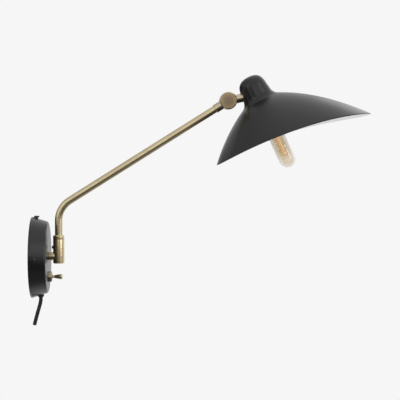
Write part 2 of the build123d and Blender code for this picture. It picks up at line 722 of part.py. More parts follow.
def shade_edges(inset):
    """Edges of the shade's profile from the crown to the bell's end."""
    dome, wall, neck, bell = shade_curves(inset)
    return [Bezier(*dome), Line(*wall), Bezier(*neck), Bezier(*bell)]


def filled_shade(inset):
    """Solid that fills the shade up to a plane past its rim."""
    edges = shade_edges(inset)
    tip = edges[-1] @ 1
    closing = Polyline(tip, (0, tip.Y), edges[0] @ 0)
    return revolve(Plane.XZ * make_face(edges + closing.edges()), Axis.Z)


def rim_radius(angle):
    """Radius of the rim's outline, from 0 at the front to half a turn at the back."""
    return (RIM_MEAN_R + RIM_REACH * math.cos(angle) + RIM_OVAL * math.cos(2 * angle)
            + RIM_NOSE * math.cos(3 * angle) + RIM_CORNER * math.cos(4 * angle))


def rim_prism():
    """Egg-shaped prism along the shade's axis that trims the bell."""
    points = []
    for step in range(RIM_POINTS):
        angle = math.tau * step / RIM_POINTS
        radius = rim_radius(angle)
        points.append((radius * math.sin(angle), radius * math.cos(angle)))
    outline = make_face(Spline(*points, periodic=True))
    return Pos(0, 0, DOME_TOP - SHADE_T) * extrude(outline, BELL_END - DOME_TOP + 2 * SHADE_T)


def make_shade():
    """Thin shade: dome, neck and bell, trimmed to its rim, with the stub's hole."""
    edges = shade_edges(0)
    inner = shade_edges(SHADE_T)
    crown = Line(edges[0] @ 0, inner[0] @ 0)
    end = Line(edges[-1] @ 1, inner[-1] @ 1)
    shell = revolve(Plane.XZ * make_face(edges + inner + [crown, end]), Axis.Z)
    shade = SHADE_FRAME * (shell & rim_prism())
    return shade - STUB_FRAME * rod(STUB_THREAD_R + HOLE_FIT, FERRULE_SOCKET_END, STUB_THREAD_END)


def make_knuckle_shade_half():
    """Far disc of the knuckle with the stub that carries the shade."""
    shank = STUB_FRAME * rod(STUB_R, 0, SADDLE_SEAT) - SHADE_FRAME * filled_shade(0)
    half = shank - lap_clearance(1) + half_disc(1)
    half += STUB_FRAME * rod(STUB_THREAD_R, DISC_R + STUB_R / 2, STUB_THREAD_END)
    half -= STUB_FRAME * rod(KNUCKLE_WIRE_R, KNUCKLE_WIRE_START, STUB_THREAD_END)
    return half - DISC_FRAME * rod(KNUCKLE_SCREW_R + RUNNING_FIT, 0, DISC_SPLIT + DISC_T)


def make_stub_saddle():
    """Saddle washer that fits the inside of the dome."""
    washer = STUB_FRAME * pipe(SADDLE_R, STUB_THREAD_R + HOLE_FIT, FERRULE_SOCKET_END, SADDLE_SEAT)
    return washer & SHADE_FRAME * filled_shade(SHADE_T)


def make_stub_nut():
    """Nut that clamps the shade and the holder strip on the stub."""
    seat = SADDLE_SEAT + STRIP_T
    return STUB_FRAME * hex_nut(STUB_NUT_ACROSS, STUB_THREAD_R + SEAT_FIT, seat, seat + STUB_NUT_T)


def make_holder_strip():
    """Bent steel strip from the stub down to the lampholder."""
    away = Vector(-STUB_DIRECTION.Z, 0, STUB_DIRECTION.X)
    seat = KNUCKLE + STUB_DIRECTION * SADDLE_SEAT
    across = Vector(-HOLDER_AXIS.Z, 0, HOLDER_AXIS.X)
    top = seat + away * STRIP_TOP
    gap = HOLDER_SEAT + HOLDER_AXIS * STRIP_T - seat
    run = gap.dot(HOLDER_AXIS) / away.dot(HOLDER_AXIS)
    corner = seat + away * run
    end = HOLDER_SEAT + HOLDER_AXIS * STRIP_T + across * STRIP_END
    inside = corner + (STUB_DIRECTION - HOLDER_AXIS) * (STRIP_T / (1 - STUB_DIRECTION.dot(HOLDER_AXIS)))
    outline = [
        top,
        corner,
        end,
        end - HOLDER_AXIS * STRIP_T,
        inside,
        top + STUB_DIRECTION * STRIP_T,
    ]
    face = make_face(Polyline(*outline, close=True))
    strip = extrude(face, STRIP_WIDTH / 2, dir=(0, 1, 0), both=True)
    strip -= STUB_FRAME * rod(STUB_THREAD_R + HOLE_FIT, FERRULE_SOCKET_END, STUB_THREAD_END)
    return strip - HOLDER_FRAME * rod(HOLDER_NIPPLE_R + HOLE_FIT, HOLDER_NIPPLE_TOP, HOLDER_NIPPLE_END)


def make_holder_nipple():
    """Hollow thread between the strip and the lampholder."""
    return HOLDER_FRAME * pipe(HOLDER_NIPPLE_R, HOLDER_NIPPLE_BORE_R, HOLDER_NIPPLE_TOP, HOLDER_NIPPLE_END)


def make_holder_nut():
    """Nut on top of the holder strip."""
    return HOLDER_FRAME * hex_nut(STUB_NUT_ACROSS, HOLDER_NIPPLE_R + SEAT_FIT, -HOLDER_NUT_T, 0)


def make_holder_cap():
    """Cap of the lampholder."""
    inner = HOLDER_R - HOLDER_WALL
    cap = rod(HOLDER_R, STRIP_T, HOLDER_SPLIT)
    cap = fillet(cap.edges().filter_by(GeomType.CIRCLE).sort_by(Axis.Z)[0], HOLDER_EDGE)
    cap -= rod(inner, STRIP_T + HOLDER_CAP_TOP_T, HOLDER_SPLIT)
    return HOLDER_FRAME * (cap - rod(HOLDER_NIPPLE_R + SEAT_FIT, 0, HOLDER_SPLIT))


def make_holder_body():
    """Skirt of the lampholder with its floor."""
    spigot = HOLDER_SPLIT - HOLDER_SPIGOT
    body = rod(HOLDER_R, HOLDER_SPLIT, HOLDER_END)
    body = fillet(body.edges().filter_by(GeomType.CIRCLE).sort_by(Axis.Z)[-1], HOLDER_EDGE)
    body += rod(HOLDER_R - HOLDER_WALL - SEAT_FIT, spigot, HOLDER_SPLIT)
    return HOLDER_FRAME * (body - rod(SLEEVE_R + SEAT_FIT, HOLDER_SPLIT, HOLDER_END))


def make_holder_sleeve():
    """Threaded brass sleeve of the lampholder."""
    return HOLDER_FRAME * pipe(SLEEVE_R, SLEEVE_BORE_R, SLEEVE_START, BULB_CAP_END - HOLDER_EDGE)


def make_holder_tongue():
    """Centre contact tongue on the lampholder's floor."""
    half = TONGUE_WIDTH / 2
    low = (-TONGUE_LENGTH / 2, -half, HOLDER_SPLIT)
    high = (TONGUE_LENGTH / 2, half, BULB_CONTACT_START)
    return HOLDER_FRAME * block(low, high)


def make_holder_wire():
    """Flex from the stub over into the lampholder."""
    start = KNUCKLE + STUB_DIRECTION * SADDLE_SEAT
    gap = HOLDER_SEAT - start
    sine = STUB_DIRECTION.cross(HOLDER_AXIS).length
    turn = start + STUB_DIRECTION * (gap.cross(HOLDER_AXIS).length / sine)
    end = HOLDER_SEAT + HOLDER_AXIS * HOLDER_NIPPLE_END
    return wire([start, turn, end], [HOLDER_WIRE_BEND_R], HOLDER_WIRE_R)


# Bulb

def make_bulb_cap():
    """Screw cap of the bulb, with rolled thread ridges."""
    cap = pipe(BULB_CAP_R, BULB_CAP_BORE_R, BULB_CAP_START, BULB_CAP_END)
    half = BULB_THREAD_PITCH / 2
    for turn in range(BULB_THREAD_COUNT):
        low = BULB_CAP_START + turn * BULB_THREAD_PITCH
        ridge = [
            (BULB_CAP_BORE_R, low),
            (BULB_CAP_R, low),
            (BULB_CAP_R + BULB_THREAD_H, low + half),
            (BULB_CAP_R, low + 2 * half),
            (BULB_CAP_BORE_R, low + 2 * half),
        ]
        cap += turned(ridge)
    return HOLDER_FRAME * cap


def make_bulb_insulator():
    """Black glass cone between the bulb's cap and its contact."""
    outline = [
        (0, BULB_CONTACT_START + BULB_CONTACT_T),
        (BULB_CONTACT_R, BULB_CONTACT_START + BULB_CONTACT_T),
        (BULB_CAP_BORE_R, BULB_CAP_START),
        (0, BULB_CAP_START),
    ]
    return HOLDER_FRAME * turned(outline)


def make_bulb_contact():
    """Solder contact at the foot of the bulb."""
    end = BULB_CONTACT_START + BULB_CONTACT_T
    return HOLDER_FRAME * rod(BULB_CONTACT_R, BULB_CONTACT_START, end)


def bulb_edges(inset):
    """Edges of the glass profile from the cap to the tip, moved in by an inset."""
    radius = BULB_R - inset
    neck = BULB_NECK_R - inset
    middle = (BULB_NECK_END + BULB_SHOULDER) / 2
    crown = BULB_TIP - BULB_R
    mouth = Line((neck, BULB_CAP_END), (neck, BULB_NECK_END))
    shoulder = Bezier((neck, BULB_NECK_END), (neck, middle), (radius, middle), (radius, BULB_SHOULDER))
    side = Line((radius, BULB_SHOULDER), (radius, crown))
    round_end = CenterArc((0, crown), radius, 0, 90)
    return [mouth, shoulder, side, round_end]


def make_bulb_glass():
    """Hollow tubular glass with a round end."""
    outer = bulb_edges(0)
    inner = bulb_edges(BULB_WALL)
    mouth = Line(outer[0] @ 0, inner[0] @ 0)
    tip = Line(outer[-1] @ 1, inner[-1] @ 1)
    return HOLDER_FRAME * revolve(Plane.XZ * make_face(outer + inner + [mouth, tip]), Axis.Z)


def make_bulb_stem():
    """Glass stem that carries the filaments."""
    outline = [
        (0, BULB_CAP_END),
        (STEM_R, BULB_CAP_END),
        (STEM_TIP_R, STEM_TIP),
        (0, STEM_TIP),
    ]
    return HOLDER_FRAME * turned(outline)


def make_filament_spiders():
    """Metal disc on the stem, which carries the inner tube, and a small one at the far end."""
    far = STEM_TIP + SPIDER_T + FILAMENT_LENGTH
    seat = rod(INNER_TUBE_R - INNER_TUBE_WALL - SEAT_FIT, STEM_TIP, STEM_TIP + SPIDER_T)
    return group(HOLDER_FRAME * disc for disc in (seat, rod(SPIDER_R, far, far + SPIDER_T)))


def round_ended(radius, tip, corner_r):
    """Rod from the stem's tip with a rounded far end."""
    solid = rod(radius, STEM_TIP, tip)
    return fillet(solid.edges().filter_by(GeomType.CIRCLE).sort_by(Axis.Z)[-1], corner_r)


def make_inner_tube():
    """Amber glass tube around the filaments, open at the stem."""
    tube = round_ended(INNER_TUBE_R, INNER_TUBE_TIP, INNER_TUBE_CORNER_R)
    tube -= round_ended(
        INNER_TUBE_R - INNER_TUBE_WALL, INNER_TUBE_TIP - INNER_TUBE_WALL, INNER_TUBE_CORNER_R - INNER_TUBE_WALL)
    return HOLDER_FRAME * tube


def make_filaments():
    """Upright filament sticks around the bulb's axis."""
    start = STEM_TIP + SPIDER_T
    sticks = []
    for number in range(FILAMENT_COUNT):
        stick = Pos(FILAMENT_RING_R, 0, 0) * rod(FILAMENT_R, start, start + FILAMENT_LENGTH)
        sticks.append(HOLDER_FRAME * Rot(Z=360 * number / FILAMENT_COUNT) * stick)
    return group(sticks)


def make_pieces():
    """Every piece of the lamp by name."""
    cup = make_wall_cup()
    return {
        "wall_bracket": make_wall_bracket(),
        "wall_cup": cup,
        "cup_screws": make_cup_screws(),
        "post": make_post(),
        "nipple": make_nipple(),
        "nipple_washer": make_nipple_washer(),
        "nipple_nut": make_nipple_nut(),
        "barrel": make_barrel(),
        "barrel_bush": make_barrel_bush(),
        "barrel_set_screw": make_barrel_set_screw(),
        "switch_body": make_switch_body(),
        "switch_bushing": make_switch_bushing(),
        "switch_nut": make_switch_nut(),
        "switch_tags": make_switch_tags(),
        "toggle_lever": make_toggle_lever(),
        "cord_gland": make_cord_gland(cup),
        "cord": make_cord(),
        "terminal_block": make_terminal_block(),
        "terminal_screws": make_terminal_screws(),
        "mains_leads": make_mains_leads(),
        "switch_leads": make_switch_leads(),
        "lamp_lead": make_lamp_lead(),
        "arm_tube": make_arm_tube(),
        "arm_collar": make_arm_collar(),
        "arm_wire": make_arm_wire(),
        "knuckle_arm_half": make_knuckle_arm_half(),
        "friction_washer": make_friction_washer(),
        "spring_washer": make_spring_washer(),
        "knuckle_screw": make_knuckle_screw(),
        "knuckle_shade_half": make_knuckle_shade_half(),
        "shade": make_shade(),
        "stub_saddle": make_stub_saddle(),
        "stub_nut": make_stub_nut(),
        "holder_strip": make_holder_strip(),
        "holder_nipple": make_holder_nipple(),
        "holder_nut": make_holder_nut(),
        "holder_cap": make_holder_cap(),
        "holder_body": make_holder_body(),
        "holder_sleeve": make_holder_sleeve(),
        "holder_tongue": make_holder_tongue(),
        "holder_wire": make_holder_wire(),
        "bulb_cap": make_bulb_cap(),
        "bulb_insulator": make_bulb_insulator(),
        "bulb_contact": make_bulb_contact(),
        "bulb_glass": make_bulb_glass(),
        "bulb_stem": make_bulb_stem(),
        "filament_spiders": make_filament_spiders(),
        "inner_tube": make_inner_tube(),
        "filaments": make_filaments(),
    }


os.makedirs("parts", exist_ok=True)
for name, piece in make_pieces().items():
    export_step(piece, "parts/" + name + ".step")
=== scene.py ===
# Swing arm wall lamp: its looks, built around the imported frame. Sizes are in millimetres and degrees.
import logging
import math
from dataclasses import dataclass, field
from enum import Enum

import bmesh
import bpy
from mathutils import Matrix, Quaternion, Vector


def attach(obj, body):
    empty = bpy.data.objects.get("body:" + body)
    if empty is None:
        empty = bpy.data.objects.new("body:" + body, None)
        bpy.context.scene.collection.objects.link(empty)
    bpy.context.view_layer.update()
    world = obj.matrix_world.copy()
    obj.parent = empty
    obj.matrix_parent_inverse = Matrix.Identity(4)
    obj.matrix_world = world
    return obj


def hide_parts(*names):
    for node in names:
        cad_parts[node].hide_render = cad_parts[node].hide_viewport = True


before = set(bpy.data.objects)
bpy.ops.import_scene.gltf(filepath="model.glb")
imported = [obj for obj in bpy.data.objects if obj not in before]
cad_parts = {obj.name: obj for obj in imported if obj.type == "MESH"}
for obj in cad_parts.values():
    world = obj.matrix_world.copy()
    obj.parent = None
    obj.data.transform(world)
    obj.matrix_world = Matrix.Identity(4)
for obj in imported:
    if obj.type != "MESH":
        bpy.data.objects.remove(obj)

MM = 0.001
GRAIN = "grain"
BACKGROUND = 0.922
FINE_STEPS = 160
ROUND_STEPS = 96
STEPS = 72
SMALL_STEPS = 40
SHARP_ANGLE = 35
LARGEST_CUT = 0.48
LOG = logging.getLogger("lamp")
MATERIALS: dict[str, bpy.types.Material] = {}
Colour = tuple[float, float, float]
Corner = tuple[float, float, float]
Place = tuple[float, float, float]


class Body(Enum):
    """Bodies of the frame that pieces ride on."""

    WALL = "wall_base"
    TOGGLE = "toggle"
    ARM = "arm"
    HEAD = "shade_head"


class Space(Enum):
    """Coordinates that a pattern follows."""

    OBJECT = "Object"
    GRAIN = GRAIN


# Node trees

class Value:
    """An output socket that can stand in a Python sum, which then adds Math nodes."""

    def __init__(self, socket: bpy.types.NodeSocket) -> None:
        """Wrap one output socket."""
        self.socket = socket

    def math(self, operation: str, first: "Value | float", second: "Value | float") -> "Value":
        """Add one Math node.

        Args:
            operation: the Math node's operation.
            first: its first term.
            second: its second term.

        Returns:
            The node's result.
        """
        node = self.socket.id_data.nodes.new("ShaderNodeMath")
        node.operation = operation
        feed(node.inputs[0], first)
        feed(node.inputs[1], second)
        return Value(node.outputs[0])

    def __add__(self, other: "Value | float") -> "Value":
        """Sum."""
        return self.math("ADD", self, other)

    def __radd__(self, other: float) -> "Value":
        """Sum, the other way round."""
        return self.math("ADD", other, self)

    def __sub__(self, other: "Value | float") -> "Value":
        """Difference."""
        return self.math("SUBTRACT", self, other)

    def __rsub__(self, other: float) -> "Value":
        """Difference, the other way round."""
        return self.math("SUBTRACT", other, self)

    def __mul__(self, other: "Value | float") -> "Value":
        """Product."""
        return self.math("MULTIPLY", self, other)

    def __rmul__(self, other: float) -> "Value":
        """Product, the other way round."""
        return self.math("MULTIPLY", other, self)

    def __truediv__(self, other: "Value | float") -> "Value":
        """Quotient."""
        return self.math("DIVIDE", self, other)


def feed(socket: bpy.types.NodeSocket, value: object) -> None:
    """Link a value to an input socket, or set it there.

    Args:
        socket: the input socket.
        value: a Value, a number, a colour or a data block.
    """
    if isinstance(value, Value):
        socket.id_data.links.new(value.socket, socket)
    else:
        socket.default_value = value


class Graph:
    """A node tree that is filled through one method."""

    def __init__(self, tree: bpy.types.NodeTree) -> None:
        """Wrap a node tree."""
        self.tree = tree

    def add(self, kind: str, settings: dict | None = None, inputs: dict | None = None,
            out: int | str = 0) -> Value:
        """Add a node.

        Args:
            kind: the node's type.
            settings: its properties, set before its sockets.
            inputs: values or links by socket name or number.
            out: the output that is wanted.

        Returns:
            That output.
        """
        node = self.tree.nodes.new(kind)
        for name, value in (settings or {}).items():
            setattr(node, name, value)
        for name, value in (inputs or {}).items():
            feed(node.inputs[name], value)
        return Value(node.outputs[out])

    def parts(self, vector: Value) -> list[Value]:
        """X, Y and Z of a vector."""
        split = self.add("ShaderNodeSeparateXYZ", None, {0: vector})
        return [Value(socket) for socket in split.socket.node.outputs]


class Shading(Graph):
    """A material's tree, with the few patterns that the finishes share."""

    def place(self, space: Space = Space.OBJECT) -> Value:
        """Coordinates of the surface, in metres."""
        if space is Space.GRAIN:
            return self.add("ShaderNodeAttribute", {"attribute_name": GRAIN}, out="Vector")
        return self.add("ShaderNodeTexCoord", out=space.value)

    def stretched(self, place: Value, scale: Place) -> Value:
        """Coordinates stretched along their own axes."""
        return self.add("ShaderNodeVectorMath", {"operation": "MULTIPLY"}, {0: place, 1: scale})

    def noise(self, place: Value, scale: float, detail: float = 2.0) -> Value:
        """Noise between 0 and 1."""
        return self.add("ShaderNodeTexNoise", None, {"Vector": place, "Scale": scale, "Detail": detail})

    def spread(self, value: Value, low: float, high: float) -> Value:
        """Value stretched so that low becomes 0 and high becomes 1, with soft ends."""
        inputs = {"Value": value, "From Min": low, "From Max": high}
        return self.add("ShaderNodeMapRange", {"interpolation_type": "SMOOTHSTEP"}, inputs)

    def mix(self, share: Value, first: Colour, second: Colour) -> Value:
        """Colour between two colours."""
        inputs = {0: share, 6: (*first, 1.0), 7: (*second, 1.0)}
        return self.add("ShaderNodeMix", {"data_type": "RGBA"}, inputs, out=2)

    def bump(self, height: Value, strength: float, depth: float) -> Value:
        """Normal that follows a height."""
        inputs = {"Height": height, "Strength": strength, "Distance": depth * MM}
        return self.add("ShaderNodeBump", None, inputs)

    def surface(self, inputs: dict) -> None:
        """Set the material's own shader."""
        shader = self.tree.nodes["Principled BSDF"]
        for name, value in inputs.items():
            feed(shader.inputs[name], value)


class Growth(Graph):
    """A geometry tree with named sizes, which gives a plain mesh."""

    def __init__(self, name: str, sizes: dict[str, float]) -> None:
        """Start a tree.

        Args:
            name: the tree's name.
            sizes: its named inputs, in metres or counts.
        """
        super().__init__(bpy.data.node_groups.new(name, "GeometryNodeTree"))
        sockets = self.tree.interface
        sockets.new_socket("Geometry", in_out="OUTPUT", socket_type="NodeSocketGeometry")
        sockets.new_socket("Geometry", in_out="INPUT", socket_type="NodeSocketGeometry")
        self.settings: dict[str, float] = {}
        for size_name, size in sizes.items():
            kind = "NodeSocketInt" if isinstance(size, int) else "NodeSocketFloat"
            item = sockets.new_socket(size_name, in_out="INPUT", socket_type=kind)
            self.settings[item.identifier] = size
        self.entry = self.tree.nodes.new("NodeGroupInput")

    def size(self, name: str) -> Value:
        """One of the tree's inputs."""
        return Value(self.entry.outputs[name])

    def position(self) -> list[Value]:
        """X, Y and Z of the points' places."""
        return self.parts(self.add("GeometryNodeInputPosition"))

    def vector(self, x: Value | float, y: Value | float, z: Value | float) -> Value:
        """Vector from three values."""
        return self.add("ShaderNodeCombineXYZ", None, {0: x, 1: y, 2: z})

    def grow(self, geometry: Value, material: bpy.types.Material,
             start: bpy.types.Mesh | None = None) -> bpy.types.Mesh:
        """End the tree, run it once and keep the result.

        Args:
            geometry: what the tree made.
            material: the material of all its faces.
            start: the mesh that the tree starts from.

        Returns:
            A plain mesh.
        """
        whole = self.add("GeometryNodeRealizeInstances", None, {0: geometry})
        dressed = self.add("GeometryNodeSetMaterial", None, {0: whole, "Material": material})
        feed(self.tree.nodes.new("NodeGroupOutput").inputs[0], dressed)
        holder = bpy.data.objects.new(self.tree.name, start or bpy.data.meshes.new(self.tree.name))
        bpy.context.scene.collection.objects.link(holder)
        modifier = holder.modifiers.new(self.tree.name, "NODES")
        modifier.node_group = self.tree
        for identifier, value in self.settings.items():
            modifier[identifier] = value
        made = applied(holder)
        made.materials.clear()
        made.materials.append(material)
        return made


# Finishes

@dataclass(frozen=True)
class Finish:
    """A surface finish, made into a material once."""

    name: str
    pale: Colour
    deep: Colour
    roughness: float

    def material(self) -> bpy.types.Material:
        """Material of this finish."""
        if self.name not in MATERIALS:
            made = bpy.data.materials.new(self.name)
            made.use_nodes = True
            self.dress(Shading(made.node_tree))
            MATERIALS[self.name] = made
        return MATERIALS[self.name]

    def dress(self, shading: Shading) -> None:
        """Fill the material's tree."""
        raise NotImplementedError


@dataclass(frozen=True)
class Coat(Finish):
    """Sprayed and baked coat with a fine orange peel."""

    peel: float = 0.12
    peel_depth: float = 0.05
    speck_scale: float = 1500.0
    cloud_scale: float = 26.0

    def dress(self, shading: Shading) -> None:
        """Soft clouds of shade over a fine grain."""
        place = shading.place()
        speck = shading.noise(place, self.speck_scale, 3.0)
        cloud = shading.noise(place, self.cloud_scale)
        shade = shading.spread(cloud * 0.6 + speck * 0.4, 0.3, 0.7)
        shading.surface({
            "Base Color": shading.mix(shade, self.deep, self.pale),
            "Roughness": self.roughness + 0.1 * (cloud - 0.5) + 0.08 * (speck - 0.5),
            "Normal": shading.bump(speck, self.peel, self.peel_depth),
        })


@dataclass(frozen=True)
class Brushed(Finish):
    """Brushed metal with age in its colour, along the piece's own grain."""

    space: Space = Space.GRAIN
    along: float = 30.0
    across: float = 2600.0
    patina: float = 0.4
    lacquer: float = 0.15
    lacquer_roughness: float = 0.2
    cloud_scale: float = 75.0
    fleck_scale: float = 1100.0

    def depth(self, shading: Shading, age: Value) -> Value:
        """Share of the deep colour.

        Args:
            shading: the material's tree.
            age: the clouds of patina, 0 to 1.

        Returns:
            A share between 0 and 1.
        """
        return age * self.patina

    def dress(self, shading: Shading) -> None:
        """Fine streaks, soft clouds of patina and small flecks."""
        grain = shading.stretched(shading.place(self.space), (self.along, self.across, self.across))
        streak = shading.noise(grain, 1.0, 3.0)
        place = shading.place()
        cloud = shading.noise(place, self.cloud_scale)
        fleck = shading.noise(place, self.fleck_scale)
        age = shading.spread(cloud * 0.7 + streak * 0.2 + fleck * 0.1, 0.36, 0.66)
        shading.surface({
            "Base Color": shading.mix(self.depth(shading, age), self.pale, self.deep),
            "Metallic": 1.0,
            "Roughness": self.roughness + 0.03 * (streak - 0.5) + 0.05 * age,
            "Coat Weight": self.lacquer,
            "Coat Roughness": self.lacquer_roughness,
            "Normal": shading.bump(streak, 0.01, 0.002),
        })


@dataclass(frozen=True)
class RimSheenFace(Brushed):
    """Round face of brushed metal, darker in its middle and paler towards its rim, where the paler tone is a
    painted highlight.
    """

    middle_r: float = 3.0
    rim_r: float = 12.0
    mottle: float = 0.12

    def depth(self, shading: Shading, age: Value) -> Value:
        """Share of the deep colour, from the distance to the face's middle.

        Args:
            shading: the material's tree.
            age: the clouds of patina, 0 to 1.

        Returns:
            A share between 0 and 1.
        """
        _, radius, _ = shading.parts(shading.place(Space.GRAIN))
        # Paling the face towards its rim is a painted highlight.
        rim_sheen = shading.spread(radius, self.middle_r * MM, self.rim_r * MM)
        return (1 - rim_sheen) * (1 - self.mottle * age)


@dataclass(frozen=True)
class Moulded(Finish):
    """Moulded plastic or rubber with a fine texture."""

    grain: float = 900.0
    relief: float = 0.15
    relief_depth: float = 0.06
    cloud_scale: float = 120.0

    def dress(self, shading: Shading) -> None:
        """Fine texture with a little wear in its gloss."""
        place = shading.place()
        speck = shading.noise(place, self.grain, 2.0)
        cloud = shading.noise(place, self.cloud_scale)
        shading.surface({
            "Base Color": shading.mix(shading.spread(cloud + 0.3 * speck, 0.4, 0.9), self.deep, self.pale),
            "Roughness": self.roughness + 0.12 * (cloud - 0.5),
            "Normal": shading.bump(speck, self.relief, self.relief_depth),
        })


@dataclass(frozen=True)
class Glass(Finish):
    """Clear tinted glass, with painted reflection streaks along its leaning axis and painted shade that
    deepens its tint away from the tip.
    """

    lean: float = 25.35
    bending: float = 1.45
    painted_shade: float = 0.0
    unshaded_at: float = -34.0
    shaded_at: float = -14.0
    reflection_streak_scale: Place = (320.0, 320.0, 14.0)

    def dress(self, shading: Shading) -> None:
        """Tint with painted reflection streaks, and painted shade that may deepen it away from the tip."""
        turned = shading.add("ShaderNodeVectorRotate", {"rotation_type": "Y_AXIS"},
                             {"Vector": shading.place(), "Angle": math.radians(self.lean)})
        # Painted reflection streaks along the axis.
        streak = shading.noise(shading.stretched(turned, self.reflection_streak_scale), 1.0)
        _, _, height = shading.parts(turned)
        # Painted shade: the tint is paler near the tip and full further up, towards the shade.
        full = 1 - self.painted_shade * (1 - shading.spread(height, self.unshaded_at * MM, self.shaded_at * MM))
        tint = (0.5 + 0.5 * shading.spread(streak, 0.3, 0.6)) * full
        shading.surface({
            "Base Color": shading.mix(tint, self.pale, self.deep),
            "Roughness": self.roughness + 0.01 * streak,
            "Transmission Weight": 1.0,
            "IOR": self.bending,
        })


@dataclass(frozen=True)
class Phosphor(Finish):
    """Amber coat of the filament sticks, with a faint painted glow that stands in for light reaching them
    through the glass.
    """

    painted_glow: float = 0.6
    speck_scale: float = 2600.0

    def dress(self, shading: Shading) -> None:
        """Grainy coat with a faint painted glow."""
        speck = shading.noise(shading.place(), self.speck_scale)
        colour = shading.mix(shading.spread(speck, 0.3, 0.7), self.deep, self.pale)
        shading.surface({
            "Base Color": colour,
            "Roughness": self.roughness + 0.1 * speck,
            # Painted glow: the coat gives off a faint light of its own colour.
            "Emission Color": colour,
            "Emission Strength": self.painted_glow,
        })


@dataclass(frozen=True)
class Backdrop(Finish):
    """Matt floor that the camera sees in the background's own colour."""

    seen: float = BACKGROUND

    def dress(self, shading: Shading) -> None:
        """Pale to all other rays, plain background to the camera."""
        camera = shading.add("ShaderNodeLightPath", out="Is Camera Ray")
        shading.surface({
            "Base Color": shading.mix(camera, self.pale, (0.0, 0.0, 0.0)),
            "Roughness": self.roughness,
            "Specular IOR Level": 0.0,
            "Emission Color": shading.mix(camera, (0.0, 0.0, 0.0), (self.seen,) * 3),
            "Emission Strength": 1.0,
        })


BLACK_PAINT = Coat("satin_black", (0.0046, 0.0043, 0.0048), (0.0032, 0.0030, 0.0034), 0.31)
WHITE_PAINT = Coat("satin_white", (0.80, 0.80, 0.80), (0.74, 0.74, 0.74), 0.45, 0.06)
BRASS = Brushed("aged_brass", (0.69, 0.562, 0.338), (0.48, 0.38, 0.218), 0.28)
GREY_BRASS = Brushed("grey_brass", (0.56, 0.482, 0.335), (0.385, 0.325, 0.216), 0.26)
TUBE_BRASS = Brushed("tube_brass", (0.635, 0.535, 0.335), (0.445, 0.366, 0.221), 0.28)
# Knuckle face: darker in the middle, paled towards the rim by a painted highlight.
DARK_BRASS = RimSheenFace("dark_brass", (0.345, 0.254, 0.143), (0.205, 0.149, 0.092), 0.34)
BRONZE = Brushed("sintered_bronze", (0.50, 0.35, 0.19), (0.32, 0.21, 0.11), 0.42, Space.OBJECT)
SHINY_BRASS = Brushed("stamped_brass", (0.78, 0.62, 0.32), (0.60, 0.45, 0.21), 0.25, Space.OBJECT)
ZINC = Brushed("bright_zinc", (0.66, 0.67, 0.68), (0.48, 0.49, 0.50), 0.36, Space.OBJECT, 400.0, 900.0)
BLACK_STEEL = Brushed("black_oxide", (0.05, 0.05, 0.052), (0.03, 0.03, 0.032), 0.3, Space.OBJECT, 300.0,
                      900.0)
CAP_METAL = Brushed("rolled_nickel", (0.72, 0.72, 0.71), (0.55, 0.55, 0.54), 0.3, Space.OBJECT, 300.0, 900.0)
COPPER = Brushed("copper_strand", (0.80, 0.42, 0.26), (0.55, 0.26, 0.15), 0.35, Space.OBJECT, 900.0)
RUBBER = Moulded("matt_rubber", (0.010, 0.010, 0.0105), (0.006, 0.006, 0.0065), 0.62)
SHEATH = Moulded("matt_sheath", (0.008, 0.008, 0.0085), (0.005, 0.005, 0.0055), 0.6, 1400.0)
LEAD = Moulded("blue_insulation", (0.16, 0.20, 0.48), (0.11, 0.14, 0.38), 0.35)
CORE_BROWN = Moulded("brown_insulation", (0.20, 0.09, 0.04), (0.15, 0.06, 0.03), 0.4)
PHENOLIC = Moulded("moulded_phenolic", (0.035, 0.034, 0.033), (0.022, 0.021, 0.021), 0.42, 700.0)
NYLON = Moulded("moulded_nylon", (0.84, 0.84, 0.81), (0.74, 0.74, 0.71), 0.45)
FIBRE = Moulded("pressed_fibre", (0.38, 0.18, 0.11), (0.26, 0.11, 0.07), 0.7, 500.0, 0.4)
FUSED = Moulded("fused_glass", (0.04, 0.04, 0.055), (0.02, 0.02, 0.03), 0.15)
# Both glasses carry painted reflection streaks and painted shade that deepens away from the tip.
CLEAR_GLASS = Glass("envelope_glass", (1.0, 0.99, 0.97), (0.77, 0.735, 0.655), 0.0, painted_shade=0.5)
AMBER_GLASS = Glass("amber_glass", (1.0, 0.95, 0.885), (0.895, 0.825, 0.70), 0.0, bending=1.04, painted_shade=0.9)
PALE_FLOOR = Backdrop("pale_floor", (0.84, 0.84, 0.84), (0.81, 0.81, 0.81), 0.9)
AMBER = Phosphor("amber_phosphor", (0.88, 0.62, 0.42), (0.80, 0.53, 0.34), 0.5, 0.56)


# Meshes

@dataclass(frozen=True)
class Datum:
    """A place on the lamp with its own axis."""

    origin: Place
    axis: Place
    across: Place = (0.0, 1.0, 0.0)

    def matrix(self) -> Matrix:
        """Matrix from the datum's own millimetres to the frame's metres."""
        z = Vector(self.axis).normalized()
        y = z.cross(Vector(self.across)).normalized()
        turn = Matrix((y.cross(z), y, z)).transposed().to_4x4()
        return Matrix.Translation(Vector(self.origin) * MM) @ turn @ Matrix.Scale(MM, 4)


